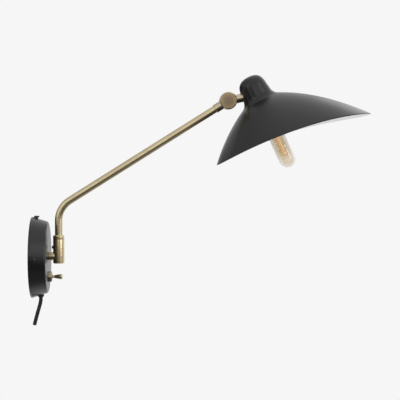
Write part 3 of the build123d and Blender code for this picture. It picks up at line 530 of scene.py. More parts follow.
def eased(corners: list[Corner], closed: bool = False, steps: int = 6) -> list[tuple[float, float]]:
    """Outline with rounded corners.

    Args:
        corners: radius, height and rounding of each corner.
        closed: whether the last corner joins the first.
        steps: segments of each rounding.

    Returns:
        The outline's points, as radius and height.
    """
    outline = []
    count = len(corners)
    for index, (radius, height, rounding) in enumerate(corners):
        here = Vector((radius, height))
        inner = closed or 0 < index < count - 1
        if not inner or rounding <= 0:
            outline.append(tuple(here))
            continue
        run_in = here - Vector(corners[index - 1][:2])
        run_out = Vector(corners[(index + 1) % count][:2]) - here
        ahead = run_in.normalized()
        turn = run_in.angle(run_out)
        cut = min(rounding * math.tan(turn / 2), LARGEST_CUT * run_in.length, LARGEST_CUT * run_out.length)
        arc_r = cut / math.tan(turn / 2)
        side = (run_out.normalized() - ahead * math.cos(turn)) / math.sin(turn)
        for step in range(steps + 1):
            angle = turn * step / steps
            point = here - ahead * cut + arc_r * (math.sin(angle) * ahead + (1 - math.cos(angle)) * side)
            outline.append(tuple(point))
    return outline


class Blank:
    """A mesh in the making, whose points keep the run of the metal's grain."""

    def __init__(self) -> None:
        """Start with nothing."""
        self.bm = bmesh.new()
        self.grain = self.bm.verts.layers.float_vector.new(GRAIN)

    def ring(self, matrix: Matrix, spokes: list[Corner]) -> list[bmesh.types.BMVert]:
        """Add a ring of points.

        Args:
            matrix: from the ring's millimetres to the frame.
            spokes: angle, radius and height of each point.

        Returns:
            The new points.
        """
        points = []
        for angle, radius, height in spokes:
            here = Vector((radius * math.cos(angle), radius * math.sin(angle), height))
            point = self.bm.verts.new(matrix @ here)
            point[self.grain] = Vector((0, radius, height)) * MM
            points.append(point)
        return points

    def bridge(self, first: list, second: list) -> None:
        """Join two rings with faces; a ring of one point is a pole."""
        count = max(len(first), len(second))
        for index in range(count):
            after = (index + 1) % count
            corners = [first[index % len(first)], first[after % len(first)],
                       second[after % len(second)], second[index % len(second)]]
            self.bm.faces.new(dict.fromkeys(corners))

    def turn(self, outline: list[tuple[float, float]], datum: Datum, closed: bool = False,
             steps: int = STEPS) -> "Blank":
        """Add a turned shell.

        Args:
            outline: radius and height of each point, from pole to pole or as a loop.
            datum: the axis that it turns about.
            closed: whether the outline is a loop.
            steps: segments of the turn.

        Returns:
            This blank.
        """
        matrix = datum.matrix()
        rings = []
        for radius, height in outline:
            angles = [math.tau * step / steps for step in range(steps if radius > 0 else 1)]
            rings.append(self.ring(matrix, [(angle, radius, height) for angle in angles]))
        for first, second in zip(rings, rings[1:]):
            self.bridge(first, second)
        if closed:
            self.bridge(rings[-1], rings[0])
        return self

    def hexagon(self, across: float, bore: float, low: float, high: float, datum: Datum,
                slope: float = 0.5) -> "Blank":
        """Add a hexagonal nut with chamfered corners.

        Args:
            across: size across the flats.
            bore: radius of its hole.
            low: where it starts on the axis.
            high: where it ends.
            datum: its axis.
            slope: fall of the chamfer for each step outwards.

        Returns:
            This blank.
        """
        matrix = datum.matrix()
        sixth = math.tau / 6
        flat = across / 2
        angles = [math.tau * (step + 0.5) / STEPS for step in range(STEPS)]
        edge = [flat / math.cos((angle % sixth) - sixth / 2) for angle in angles]
        drop = [slope * (radius - flat * 0.99) for radius in edge]
        land = flat * 0.97
        rings = [
            [(a, bore, low) for a in angles],
            [(a, land, low) for a in angles],
            [(a, r, low + d) for a, r, d in zip(angles, edge, drop)],
            [(a, r, high - d) for a, r, d in zip(angles, edge, drop)],
            [(a, land, high) for a in angles],
            [(a, bore, high) for a in angles],
        ]
        made = [self.ring(matrix, spokes) for spokes in rings]
        for first, second in zip(made, made[1:] + made[:1]):
            self.bridge(first, second)
        return self

    def box(self, low: Place, high: Place, datum: Datum) -> "Blank":
        """Add a box between two corners in a datum's millimetres."""
        made = bmesh.ops.create_cube(self.bm, size=1.0)
        centre = (Vector(low) + Vector(high)) / 2
        size = Vector(high) - Vector(low)
        matrix = datum.matrix() @ Matrix.Translation(centre) @ Matrix.Diagonal((*size, 1.0))
        bmesh.ops.transform(self.bm, matrix=matrix, verts=made["verts"])
        return self

    def mesh(self, name: str) -> bpy.types.Mesh:
        """Finished mesh, with its doubles merged and its faces turned outwards."""
        bmesh.ops.remove_doubles(self.bm, verts=self.bm.verts, dist=1e-7)
        bmesh.ops.recalc_face_normals(self.bm, faces=self.bm.faces)
        made = bpy.data.meshes.new(name)
        self.bm.to_mesh(made)
        self.bm.free()
        return made


def applied(holder: bpy.types.Object) -> bpy.types.Mesh:
    """Plain mesh of an object with its modifiers, which then goes."""
    bpy.context.view_layer.update()
    seen = holder.evaluated_get(bpy.context.evaluated_depsgraph_get())
    made = bpy.data.meshes.new_from_object(seen)
    holder.modifiers.clear()
    bpy.data.objects.remove(holder)
    return made


def holder_of(mesh: bpy.types.Mesh) -> bpy.types.Object:
    """Object that carries a mesh while modifiers work on it."""
    holder = bpy.data.objects.new(mesh.name, mesh)
    bpy.context.scene.collection.objects.link(holder)
    return holder


def carved(mesh: bpy.types.Mesh, tool: bpy.types.Mesh) -> bpy.types.Mesh:
    """Mesh with the tool's shape cut out of it."""
    holder, cutter = holder_of(mesh), holder_of(tool)
    cut = holder.modifiers.new("cut", "BOOLEAN")
    cut.operation = "DIFFERENCE"
    cut.solver = "EXACT"
    cut.object = cutter
    made = applied(holder)
    bpy.data.objects.remove(cutter)
    return made


def set_piece(name: str, mesh: bpy.types.Mesh, body: Body, nodes: tuple[str, ...],
              finishes: tuple[Finish, ...] = ()) -> bpy.types.Object:
    """Dress a mesh and tie it to its body as a piece.

    Args:
        name: the piece's name.
        mesh: its mesh, in the frame.
        body: the body that it rides on.
        nodes: the CAD nodes that it stands for.
        finishes: its materials, if the mesh has none yet.

    Returns:
        The piece.
    """
    mesh.name = name
    if finishes:
        mesh.materials.clear()
    for finish in finishes:
        mesh.materials.append(finish.material())
    mesh.shade_smooth()
    mesh.set_sharp_from_angle(angle=math.radians(SHARP_ANGLE))
    piece = holder_of(mesh)
    piece.name = name
    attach(piece, body.value)
    if nodes:
        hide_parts(*nodes)
    LOG.info("%s rides on %s, %d faces", name, body.value, len(mesh.polygons))
    return piece


def set_turned(name: str, outline: list[tuple[float, float]], datum: Datum, body: Body,
               nodes: tuple[str, ...], finish: Finish, closed: bool = False,
               steps: int = STEPS) -> bpy.types.Object:
    """Turn an outline about an axis and set it as a piece.

    Args:
        name: the piece's name.
        outline: radius and height of each point.
        datum: the axis.
        body: the body that it rides on.
        nodes: the CAD nodes that it stands for.
        finish: its finish.
        closed: whether the outline is a loop.
        steps: segments of the turn.

    Returns:
        The piece.
    """
    mesh = Blank().turn(outline, datum, closed, steps).mesh(name)
    return set_piece(name, mesh, body, nodes, (finish,))


# The lamp

@dataclass(frozen=True)
class Layout:
    """Places that the sub-assemblies share."""

    face_x: float = 22.0
    post_z: float = 1.2
    pivot_x: float = 35.6
    corner_z: float = 66.5
    arm_angle: float = 32.2
    arm_length: float = 270.4
    stub_angle: float = 13.0
    shade_tilt: float = 27.85
    shade_out: float = 42.2
    shade_up: float = 2.9
    holder_drop: float = 2.0
    holder_lean: float = 2.5
    switch_z: float = -26.1
    lever_depth: float = 0.5
    lever_angle: float = 10.0

    @staticmethod
    def slant(angle: float) -> Vector:
        """Direction at an angle above level, in the arm's plane."""
        return Vector((math.cos(math.radians(angle)), 0, math.sin(math.radians(angle))))

    @property
    def corner(self) -> Vector:
        """Corner of the arm's two straight runs."""
        return Vector((self.pivot_x, 0, self.corner_z))

    @property
    def knuckle(self) -> Vector:
        """Middle of the knuckle."""
        return self.corner + self.slant(self.arm_angle) * self.arm_length

    @property
    def shade_axis(self) -> Vector:
        """Direction in which the shade opens."""
        return self.slant(self.shade_tilt - 90)

    @property
    def shade_centre(self) -> Vector:
        """Middle of the shade's neck."""
        return self.knuckle + Vector((self.shade_out, 0, self.shade_up))

    def wall(self) -> Datum:
        """Axis of the wall cup."""
        return Datum((0, 0, 0), (1, 0, 0))

    def post(self) -> Datum:
        """Axis of the post."""
        return Datum((0, 0, self.post_z), (1, 0, 0))

    def pivot(self) -> Datum:
        """Axis that the arm swings about."""
        return Datum((self.pivot_x, 0, 0), (0, 0, 1), (1, 0, 0))

    def switch(self) -> Datum:
        """Axis of the switch, from the cup's face."""
        return Datum((self.face_x, 0, self.switch_z), (1, 0, 0))

    def lever(self) -> Datum:
        """Axis of the switch lever as it is thrown at rest."""
        angle = math.radians(self.lever_angle)
        return Datum((self.face_x - self.lever_depth, 0, self.switch_z),
                     (math.cos(angle), -math.sin(angle), 0), (0, 0, 1))

    def disc(self) -> Datum:
        """Axis of the knuckle's discs, towards the far side."""
        return Datum(tuple(self.knuckle), (0, 1, 0), (1, 0, 0))

    def ferrule(self) -> Datum:
        """Axis of the ferrule, down the arm from the knuckle."""
        return Datum(tuple(self.knuckle), tuple(-self.slant(self.arm_angle)))

    def stub(self) -> Datum:
        """Axis of the stub, from the knuckle into the dome."""
        return Datum(tuple(self.knuckle), tuple(self.slant(self.stub_angle)))

    def shade(self) -> Datum:
        """Axis of the shade."""
        return Datum(tuple(self.shade_centre), tuple(self.shade_axis))

    def holder(self) -> Datum:
        """Axis of the lampholder and bulb."""
        seat = self.shade_centre + self.shade_axis * self.holder_drop
        return Datum(tuple(seat), tuple(self.slant(self.shade_tilt - self.holder_lean - 90)))


LAYOUT = Layout()


def slotted(head_r: float, head_h: float, rounding: float, shank_r: float, shank: float, slot: float,
            depth: float) -> bpy.types.Mesh:
    """Slotted screw along Z, with the seat of its head at the origin.

    Args:
        head_r: radius of the head.
        head_h: height of the head.
        rounding: rounding of the head's edge.
        shank_r: radius of the shank.
        shank: length of the shank.
        slot: width of the slot.
        depth: depth of the slot.

    Returns:
        The screw's mesh, in metres.
    """
    own = Datum((0, 0, 0), (0, 0, 1), (1, 0, 0))
    outline = eased([(0, -shank, 0), (shank_r, -shank, 0.3), (shank_r, 0, 0), (head_r, 0, 0.15),
                     (head_r, head_h, rounding), (0, head_h, 0)])
    screw = Blank().turn(outline, own, steps=SMALL_STEPS).mesh("screw")
    reach = 2 * head_r
    tool = Blank().box((-reach, -slot / 2, head_h - depth), (reach, slot / 2, head_h + depth), own)
    return carved(screw, tool.mesh("slot"))


@dataclass
class WallCup:
    """Round cup on the wall, with its side screws and the cord's gland."""

    rim_r: float = 54.0
    lip_width: float = 2.5
    lip_step: float = 0.5
    face_r: float = 47.5
    wall: float = 1.2
    edge_r: float = 3.5
    screw_x: float = 6.5
    screw_head_r: float = 3.5
    screw_head_h: float = 2.4
    screw_r: float = 2.0
    screw_shank: float = 8.3
    screw_slot: float = 1.0
    gland_x: float = 11.6
    gland_r: float = 4.3
    gland_nose_r: float = 3.0
    gland_inner: float = 47.6
    gland_end: float = 53.6
    gland_nose: float = 1.4
    groove: float = 0.7
    groove_inner: float = 1.35
    groove_outer: float = 0.5

    def side_radius(self, x: float) -> float:
        """Outside radius of the tapered side at a distance from the wall."""
        fall = self.rim_r - self.lip_step - self.face_r
        return self.rim_r - self.lip_step - fall * (x - self.lip_width) / (LAYOUT.face_x - self.lip_width)

    def build_shell(self) -> None:
        """Cup of sheet steel with a small lip on the wall and a rounded front edge."""
        depth = LAYOUT.face_x
        inner_x = depth - self.wall
        lip_r = self.side_radius(self.lip_width)
        outline = eased([
            (0, depth, 0),
            (self.face_r, depth, self.edge_r),
            (lip_r, self.lip_width, 0.25),
            (self.rim_r, self.lip_width, 0.2),
            (self.rim_r, 0, 0.2),
            (self.rim_r - self.wall - self.lip_step, 0, 0.2),
            (lip_r - self.wall, self.lip_width, 0.3),
            (self.side_radius(inner_x) - self.wall, inner_x, self.edge_r - self.wall),
            (0, inner_x, 0),
        ], steps=8)
        set_turned("cup_shell", outline, LAYOUT.wall(), Body.WALL, ("wall_cup",), BLACK_PAINT,
                   steps=FINE_STEPS)

    def build_screws(self) -> None:
        """Three slotted screws round the cup's side, set by a geometry tree."""
        seat = self.side_radius(self.screw_x - self.screw_head_r)
        start = slotted(self.screw_head_r, self.screw_head_h, self.screw_head_h / 2, self.screw_r,
                        self.screw_shank, self.screw_slot, self.screw_slot)
        growth = Growth("side_screw_ring", {"Seat Radius": seat * MM, "Out": self.screw_x * MM, "Places": 4,
                                            "Left Out": 2, "Slot Turn": 0.9})
        circle = growth.add("GeometryNodeMeshCircle", None,
                            {"Vertices": growth.size("Places"), "Radius": growth.size("Seat Radius")})
        upright = growth.add("GeometryNodeTransform", None,
                             {0: circle, "Rotation": (0.0, -math.pi / 2, 0.0),
                              "Translation": growth.vector(growth.size("Out"), 0.0, 0.0)})
        index = growth.add("GeometryNodeInputIndex")
        kept = growth.add("FunctionNodeCompare", {"data_type": "INT", "operation": "NOT_EQUAL"},
                          {2: index, 3: growth.size("Left Out")})
        _, y, z = growth.position()
        outwards = growth.add("FunctionNodeAlignRotationToVector", {"axis": "Z"},
                              {"Vector": growth.vector(0.0, y, z)})
        screws = growth.add("GeometryNodeInstanceOnPoints", None,
                            {"Points": upright, "Selection": kept, "Instance": growth.size("Geometry"),
                             "Rotation": outwards})
        slot_turn = growth.vector(0.0, 0.0, index * growth.size("Slot Turn"))
        turned = growth.add("GeometryNodeRotateInstances", None, {0: screws, "Rotation": slot_turn})
        mesh = growth.grow(turned, BLACK_STEEL.material(), start)
        set_piece("side_screws", mesh, Body.WALL, ("cup_screws",))

    def build_gland(self) -> None:
        """Rubber grommet that the cord comes out of."""
        skin = self.side_radius(self.gland_x)
        groove_r = self.gland_r - self.groove
        outline = eased([
            (0, self.gland_inner, 0),
            (self.gland_r, self.gland_inner, 0.5),
            (self.gland_r, skin - self.groove_inner, 0.2),
            (groove_r, skin - self.groove_inner, 0.1),
            (groove_r, skin - self.groove_outer, 0.1),
            (self.gland_r, skin - self.groove_outer, 0.2),
            (self.gland_r, self.gland_end - self.gland_nose, 0.8),
            (self.gland_nose_r, self.gland_end, 0.4),
            (0, self.gland_end, 0),
        ])
        datum = Datum((self.gland_x, 0, 0), (0, 0, -1), (1, 0, 0))
        set_turned("cord_grommet", outline, datum, Body.WALL, ("cord_gland",), RUBBER)

    def build(self) -> None:
        """Build the cup's pieces."""
        self.build_shell()
        self.build_screws()
        self.build_gland()


@dataclass
class MainsCord:
    """Short mains cord that hangs from the gland and ends bare, as photographed."""

    radius: float = 2.5
    length: float = 38.3
    core_r: float = 0.85
    core_side: float = 1.05
    core_depth: float = 1.0
    core_proud: float = 0.25
    strand_r: float = 0.5
    route: tuple[Place, ...] = (
        (11.6, 0.0, -53.6),
        (11.6, 0.0, -56.3),
        (11.3, 0.0, -59.2),
        (10.5, 0.0, -63.1),
        (8.3, 0.0, -70.6),
        (5.3, 0.0, -81.0),
        (2.9, 0.0, -90.8),
    )

    def build_cores(self) -> list[bpy.types.Object]:
        """Cut ends of the two cores, a little proud of the sheath's end."""
        end, before = Vector(self.route[-1]), Vector(self.route[-2])
        along = (end - before).normalized()
        core_end = self.core_depth + self.core_proud
        strand_end = self.core_depth + 2 * self.core_proud
        skin = eased([(self.strand_r, 0, 0), (self.core_r, 0, 0), (self.core_r, core_end, 0.1),
                      (self.strand_r, core_end, 0.05)], closed=True)
        strand = eased([(0, 0, 0), (self.strand_r, 0, 0), (self.strand_r, strand_end, 0.2),
                        (0, strand_end, 0)])
        pieces = []
        for side, finish, name in ((-1, CORE_BROWN, "core_brown_end"), (1, LEAD, "core_blue_end")):
            start = end - along * self.core_depth + Vector((0, side * self.core_side, 0))
            datum = Datum(tuple(start), tuple(along))
            pieces.append(set_turned(name, skin, datum, Body.WALL, (), finish, closed=True,
                                     steps=SMALL_STEPS))
            pieces.append(set_turned(name + "_copper", strand, datum, Body.WALL, (), COPPER,
                                     steps=SMALL_STEPS))
        return pieces

    def build(self) -> None:
        curve = bpy.data.curves.new("mains_cord", "CURVE")
        curve.dimensions = "3D"
        spline = curve.splines.new("NURBS")
        spline.points.add(len(self.route) - 1)
        for point, place in zip(spline.points, self.route):
            point.co = (*(Vector(place) * MM), 1.0)
        spline.order_u = 3
        spline.use_endpoint_u = True
        spline.resolution_u = 16
        curve.bevel_depth = self.radius * MM
        curve.bevel_resolution = 8
        curve.use_fill_caps = True
        curve.materials.append(SHEATH.material())
        cord = bpy.data.objects.new("mains_cord", curve)
        bpy.context.scene.collection.objects.link(cord)
        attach(cord, Body.WALL.value)
        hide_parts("cord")
        self.build_cores()
        LOG.info("mains_cord rides on %s", Body.WALL.value)


@dataclass
class ArmPivot:
    """Post and barrel on the cup, and the ring on the arm that turns on them."""

    post_r: float = 5.45
    post_gap: float = 1.0
    barrel_r: float = 7.5
    bottom_z: float = -8.3
    top_z: float = 24.0
    edge: float = 0.7
    bush_r: float = 6.2
    bush_z: float = 7.0
    collar_h: float = 5.2
    gap: float = 0.1
    bore_r: float = 5.02
    set_screw_z: float = 13.3
    set_screw_r: float = 2.0
    set_screw_depth: float = 2.5
    set_screw_proud: float = 1.6
    socket_across: float = 2.0
    socket_depth: float = 1.8

    def build_post(self) -> None:
        """Sleeve between the cup and the barrel."""
        end = LAYOUT.pivot_x - self.post_gap
        outline = eased([(0, LAYOUT.face_x, 0), (self.post_r, LAYOUT.face_x, 0.3), (self.post_r, end, 0),
                         (0, end, 0)])
        set_turned("post_sleeve", outline, LAYOUT.post(), Body.WALL, ("post",), BRASS)

    def build_barrel(self) -> None:
        """Barrel with its bush seat and a chamfered foot."""
        outline = eased([
            (0, self.bottom_z, 0),
            (self.barrel_r - self.edge, self.bottom_z, 0.15),
            (self.barrel_r, self.bottom_z + self.edge, 0.3),
            (self.barrel_r, self.top_z, 0.25),
            (self.bush_r, self.top_z, 0.1),
            (self.bush_r, self.bush_z, 0),
            (0, self.bush_z, 0),
        ])
        set_turned("barrel_shell", outline, LAYOUT.pivot(), Body.WALL, ("barrel",), BRASS,
                   steps=ROUND_STEPS)

    def build_collar(self) -> None:
        """Ring on the arm that rests on the barrel."""
        low = self.top_z + self.gap
        high = low + self.collar_h
        outline = eased([
            (self.bore_r, low, 0),
            (self.barrel_r, low, 0.25),
            (self.barrel_r, high - self.edge, 0.3),
            (self.barrel_r - self.edge, high, 0.15),
            (self.bore_r, high, 0),
        ], closed=True)
        set_turned("collar_ring", outline, LAYOUT.pivot(), Body.ARM, ("arm_collar",), BRASS,
                   closed=True, steps=ROUND_STEPS)

    def build_set_screw(self) -> None:
        """Black set screw with a hexagonal socket, on the wall side of the barrel."""
        datum = Datum((LAYOUT.pivot_x, 0, self.set_screw_z), (-1, 0, 0))
        root = self.barrel_r - self.set_screw_depth
        head = self.barrel_r + self.set_screw_proud
        outline = eased([(0, root, 0), (self.set_screw_r, root, 0), (self.set_screw_r, head, 0.35),
                         (0, head, 0)])
        screw = Blank().turn(outline, datum, steps=SMALL_STEPS).mesh("set_screw")
        floor, beyond = head - self.socket_depth, head + 1
        corner_r = self.socket_across / math.sqrt(3)
        room = [(0, floor), (corner_r, floor), (corner_r, beyond), (0, beyond)]
        mesh = carved(screw, Blank().turn(room, datum, steps=6).mesh("socket"))
        set_piece("pivot_set_screw", mesh, Body.WALL, ("barrel_set_screw",), (BLACK_STEEL,))

    def build(self) -> None:
        """Build the pivot's pieces."""
        self.build_post()
        self.build_barrel()
        self.build_collar()
        self.build_set_screw()


def thread(name: str, radius: float, pitch: float, turns: float, ridge: float, datum: Datum,
           finish: Finish) -> bpy.types.Mesh:
    """Screw thread that winds round an axis, made by a geometry tree.

    Args:
        name: the tree's name.
        radius: radius of the thread's middle.
        pitch: rise of one turn.
        turns: number of turns.
        ridge: radius of the ridge.
        datum: the axis, from the thread's start.
        finish: its finish.

    Returns:
        The thread's mesh.
    """
    growth = Growth(name, {"Radius": radius * MM, "Height": pitch * turns * MM, "Turns": turns,
                           "Ridge": ridge * MM})
    spiral = growth.add("GeometryNodeCurveSpiral", None,
                        {"Resolution": 48, "Rotations": growth.size("Turns"), "Height": growth.size("Height"),
                         "Start Radius": growth.size("Radius"), "End Radius": growth.size("Radius")})
    section = growth.add("GeometryNodeCurvePrimitiveCircle", None,
                         {"Resolution": 6, "Radius": growth.size("Ridge")})
    ridge_mesh = growth.add("GeometryNodeCurveToMesh", None, {0: spiral, 1: section, "Fill Caps": True})
    mesh = growth.grow(ridge_mesh, finish.material())
    mesh.transform(datum.matrix() @ Matrix.Scale(1 / MM, 4))
    return mesh


@dataclass
class ToggleSwitch:
    """Toggle switch on the cup's face."""

    nut_across: float = 13.8
    nut_h: float = 4.4
    bushing_r: float = 5.9
    bushing_bore: float = 3.4
    bushing_inner: float = -1.2
    bushing_end: float = 5.0
    thread_pitch: float = 0.6
    thread_relief: float = 0.5
    ridge: float = 0.25
    ball_r: float = 3.1
    ball_steps: int = 24
    root_r: float = 1.1
    root_length: float = 2.0
    tip_r: float = 3.5
    shoulder: float = 15.5
    length: float = 19.2

    def build_nut(self) -> None:
        """Hexagonal dress nut."""
        mesh = Blank().hexagon(self.nut_across, self.bushing_r, 0.0, self.nut_h, LAYOUT.switch()).mesh("nut")
        set_piece("dress_nut", mesh, Body.WALL, ("switch_nut",), (GREY_BRASS,))

    def build_bushing(self) -> None:
        """Bushing with its thread."""
        core_r = self.bushing_r - self.ridge
        outline = eased([
            (self.bushing_bore, self.bushing_inner, 0),
            (core_r, self.bushing_inner, 0),
            (core_r, self.bushing_end, 0.4),
            (self.bushing_bore, self.bushing_end, 0.3),
        ], closed=True)
        set_turned("bushing_core", outline, LAYOUT.switch(), Body.WALL, ("switch_bushing",),
                   GREY_BRASS, closed=True)
        turns = (self.bushing_end - self.thread_relief) / self.thread_pitch
        ridges = thread("bushing_ridges", core_r, self.thread_pitch, turns, self.ridge, LAYOUT.switch(),
                        GREY_BRASS)
        set_piece("bushing_thread", ridges, Body.WALL, ())

    def build_lever(self) -> None:
        """Flared lever on its ball."""
        neck = math.sqrt(self.ball_r ** 2 - self.root_r ** 2)
        angles = [math.pi * step / self.ball_steps for step in range(1, self.ball_steps)]
        ball = [(self.ball_r * math.sin(angle), -self.ball_r * math.cos(angle)) for angle in angles
                if self.ball_r * math.cos(angle) > -neck]
        bar = eased([
            (self.root_r, neck, 0),
            (self.root_r, neck + self.root_length, 6.0),
            (self.tip_r, self.shoulder, 4.0),
            (self.tip_r, self.length, 0.9),
            (0, self.length, 0),
        ], steps=8)
        outline = [(0.0, -self.ball_r)] + ball + bar
        set_turned("lever_bar", outline, LAYOUT.lever(), Body.TOGGLE, ("toggle_lever",),
                   GREY_BRASS)

    def build(self) -> None:
        """Build the switch's pieces."""
        self.build_nut()
        self.build_bushing()
        self.build_lever()


@dataclass
class Arm:
    """Bent arm tube, whose grain follows its own bend."""

    radius: float = 5.0
    foot_z: float = 8.0
    bend_r: float = 32.0
    end_gap: float = 13.5

    def build(self) -> None:
        """Sweep the tube along its path with a geometry tree."""
        end = LAYOUT.knuckle - LAYOUT.slant(LAYOUT.arm_angle) * self.end_gap
        line = bpy.data.meshes.new("arm_line")
        corners = [Vector((LAYOUT.pivot_x, 0, self.foot_z)), LAYOUT.corner, end]
        line.from_pydata([corner * MM for corner in corners], [(0, 1), (1, 2)], [])
        growth = Growth("bent_tube", {"Tube Radius": self.radius * MM, "Bend Radius": self.bend_r * MM,
                                      "Bend Steps": 32, "Sides": 56})
        path = growth.add("GeometryNodeMeshToCurve", None, {0: growth.size("Geometry")})
        bent = growth.add("GeometryNodeFilletCurve", {"mode": "POLY"},
                          {0: path, "Radius": growth.size("Bend Radius"), "Count": growth.size("Bend Steps")})
        run = growth.add("GeometryNodeSplineParameter", None, None, "Length")
        marked = growth.add("GeometryNodeStoreNamedAttribute", {"data_type": "FLOAT"},
                            {0: bent, "Name": "run", "Value": run})
        circle = growth.add("GeometryNodeCurvePrimitiveCircle", None,
                            {"Resolution": growth.size("Sides"), "Radius": growth.size("Tube Radius")})
        around = growth.add("GeometryNodeStoreNamedAttribute", {"data_type": "FLOAT_VECTOR"},
                            {0: circle, "Name": "around", "Value": growth.add("GeometryNodeInputPosition")})
        tube = growth.add("GeometryNodeCurveToMesh", None, {0: marked, 1: around, "Fill Caps": True})
        kept_run = growth.add("GeometryNodeInputNamedAttribute", {"data_type": "FLOAT"}, {"Name": "run"})
        kept_around = growth.add("GeometryNodeInputNamedAttribute", {"data_type": "FLOAT_VECTOR"},
                                 {"Name": "around"})
        side, height, _ = growth.parts(kept_around)
        grained = growth.add("GeometryNodeStoreNamedAttribute", {"data_type": "FLOAT_VECTOR"},
                             {0: tube, "Name": GRAIN, "Value": growth.vector(kept_run, side, height)})
        mesh = growth.grow(grained, TUBE_BRASS.material(), line)
        set_piece("bent_arm", mesh, Body.ARM, ("arm_tube",))


@dataclass
class Knuckle:
    """Two half-lapped discs on a screw, with a ferrule on the arm and a stub on the shade."""

    disc_r: float = 11.8
    disc_h: float = 6.8
    edge: float = 1.2
    split: float = 0.25
    shank_r: float = 6.0
    shank_start: float = 2.0
    ferrule_end: float = 21.1
    stub_end: float = 23.0
    thread_r: float = 4.9
    thread_end: float = 30.5
    wire_r: float = 2.8
    lap: float = 0.3
    head_r: float = 5.6
    head_h: float = 3.0
    head_seat: float = 8.05
    screw_r: float = 3.0
    screw_reach: float = 5.0
    slot: float = 1.2
    slot_depth: float = 1.3

    def disc(self, blank: Blank, side: int) -> Blank:
        """Add the near (-1) or far (1) disc, with a chamfer on its outer face."""
        inner, outer = side * self.split, side * (self.split + self.disc_h)
        outline = eased([(0, outer, 0), (self.disc_r - self.edge, outer, 0.3),
                         (self.disc_r, outer - side * self.edge, 0.4), (self.disc_r, inner, 0.12),
                         (0, inner, 0)])
        return blank.turn(outline, LAYOUT.disc(), steps=ROUND_STEPS)

    def lapped(self, shank: bpy.types.Mesh, side: int) -> bpy.types.Mesh:
        """Shank with the room that the other half's disc needs."""
        reach = self.split + self.disc_h + self.shank_r
        room = [(0, side * self.split), (self.disc_r + self.lap, side * self.split),
                (self.disc_r + self.lap, -side * reach), (0, -side * reach)]
        return carved(shank, Blank().turn(room, LAYOUT.disc(), steps=ROUND_STEPS).mesh("lap"))

    @staticmethod
    def joined(first: bpy.types.Mesh, second: bpy.types.Mesh) -> bpy.types.Mesh:
        """One mesh of two shells."""
        blank = Blank()
        for mesh in (first, second):
            blank.bm.from_mesh(mesh)
        return blank.mesh(first.name)

    def darken_face(self, half: bpy.types.Object) -> None:
        """Give the disc's flat outer face its darker material, which pales towards the rim in a painted
        highlight.
        """
        for face in half.data.polygons:
            outer = abs(face.center.y) > (self.split + self.disc_h - 0.05) * MM
            face.material_index = 1 if outer and abs(face.normal.y) > 0.99 else 0

    def build_arm_half(self) -> None:
        """Near disc with the ferrule."""
        outline = eased([(0, self.shank_start, 0), (self.shank_r, self.shank_start, 0),
                         (self.shank_r, self.ferrule_end, 0.5), (0, self.ferrule_end, 0)])
        ferrule = self.lapped(Blank().turn(outline, LAYOUT.ferrule()).mesh("ferrule"), -1)
        mesh = self.joined(ferrule, self.disc(Blank(), -1).mesh("near_disc"))
        self.darken_face(set_piece("near_knuckle", mesh, Body.ARM, ("knuckle_arm_half",),
                                   (GREY_BRASS, DARK_BRASS)))

    def build_shade_half(self) -> None:
        """Far disc with the stub and its thread inside the dome."""
        outline = eased([(0, self.shank_start, 0), (self.shank_r, self.shank_start, 0),
                         (self.shank_r, self.stub_end, 0.2),
                         (self.thread_r, self.stub_end, 0), (self.thread_r, self.thread_end, 0.4),
                         (self.wire_r, self.thread_end, 0.2), (self.wire_r, self.stub_end, 0),
                         (0, self.stub_end, 0)])
        stub = self.lapped(Blank().turn(outline, LAYOUT.stub()).mesh("stub"), 1)
        mesh = self.joined(stub, self.disc(Blank(), 1).mesh("far_disc"))
        self.darken_face(set_piece("far_knuckle", mesh, Body.HEAD, ("knuckle_shade_half",),
                                   (GREY_BRASS, DARK_BRASS)))

    def build_screw(self) -> None:
        """Slotted clamp screw on the far side."""
        mesh = slotted(self.head_r, self.head_h, self.head_h / 4, self.screw_r,
                       self.head_seat + self.screw_reach, self.slot, self.slot_depth)
        seat = Matrix.Translation((0, 0, self.head_seat))
        mesh.transform(LAYOUT.disc().matrix() @ seat @ Matrix.Scale(1 / MM, 4))
        set_piece("clamp_screw", mesh, Body.ARM, ("knuckle_screw",), (BRASS,))

    def build(self) -> None:
        """Build the knuckle's pieces."""
        self.build_arm_half()
        self.build_shade_half()
        self.build_screw()


def bezier(t: Value, ends: list[float]) -> Value:
    """Cubic curve with four control values.

    Args:
        t: share of the way along.
        ends: the four control values.

    Returns:
        The value there.
    """
    u = 1 - t
    return u * u * u * ends[0] + u * u * t * (3 * ends[1]) + u * t * t * (3 * ends[2]) + t * t * t * ends[3]


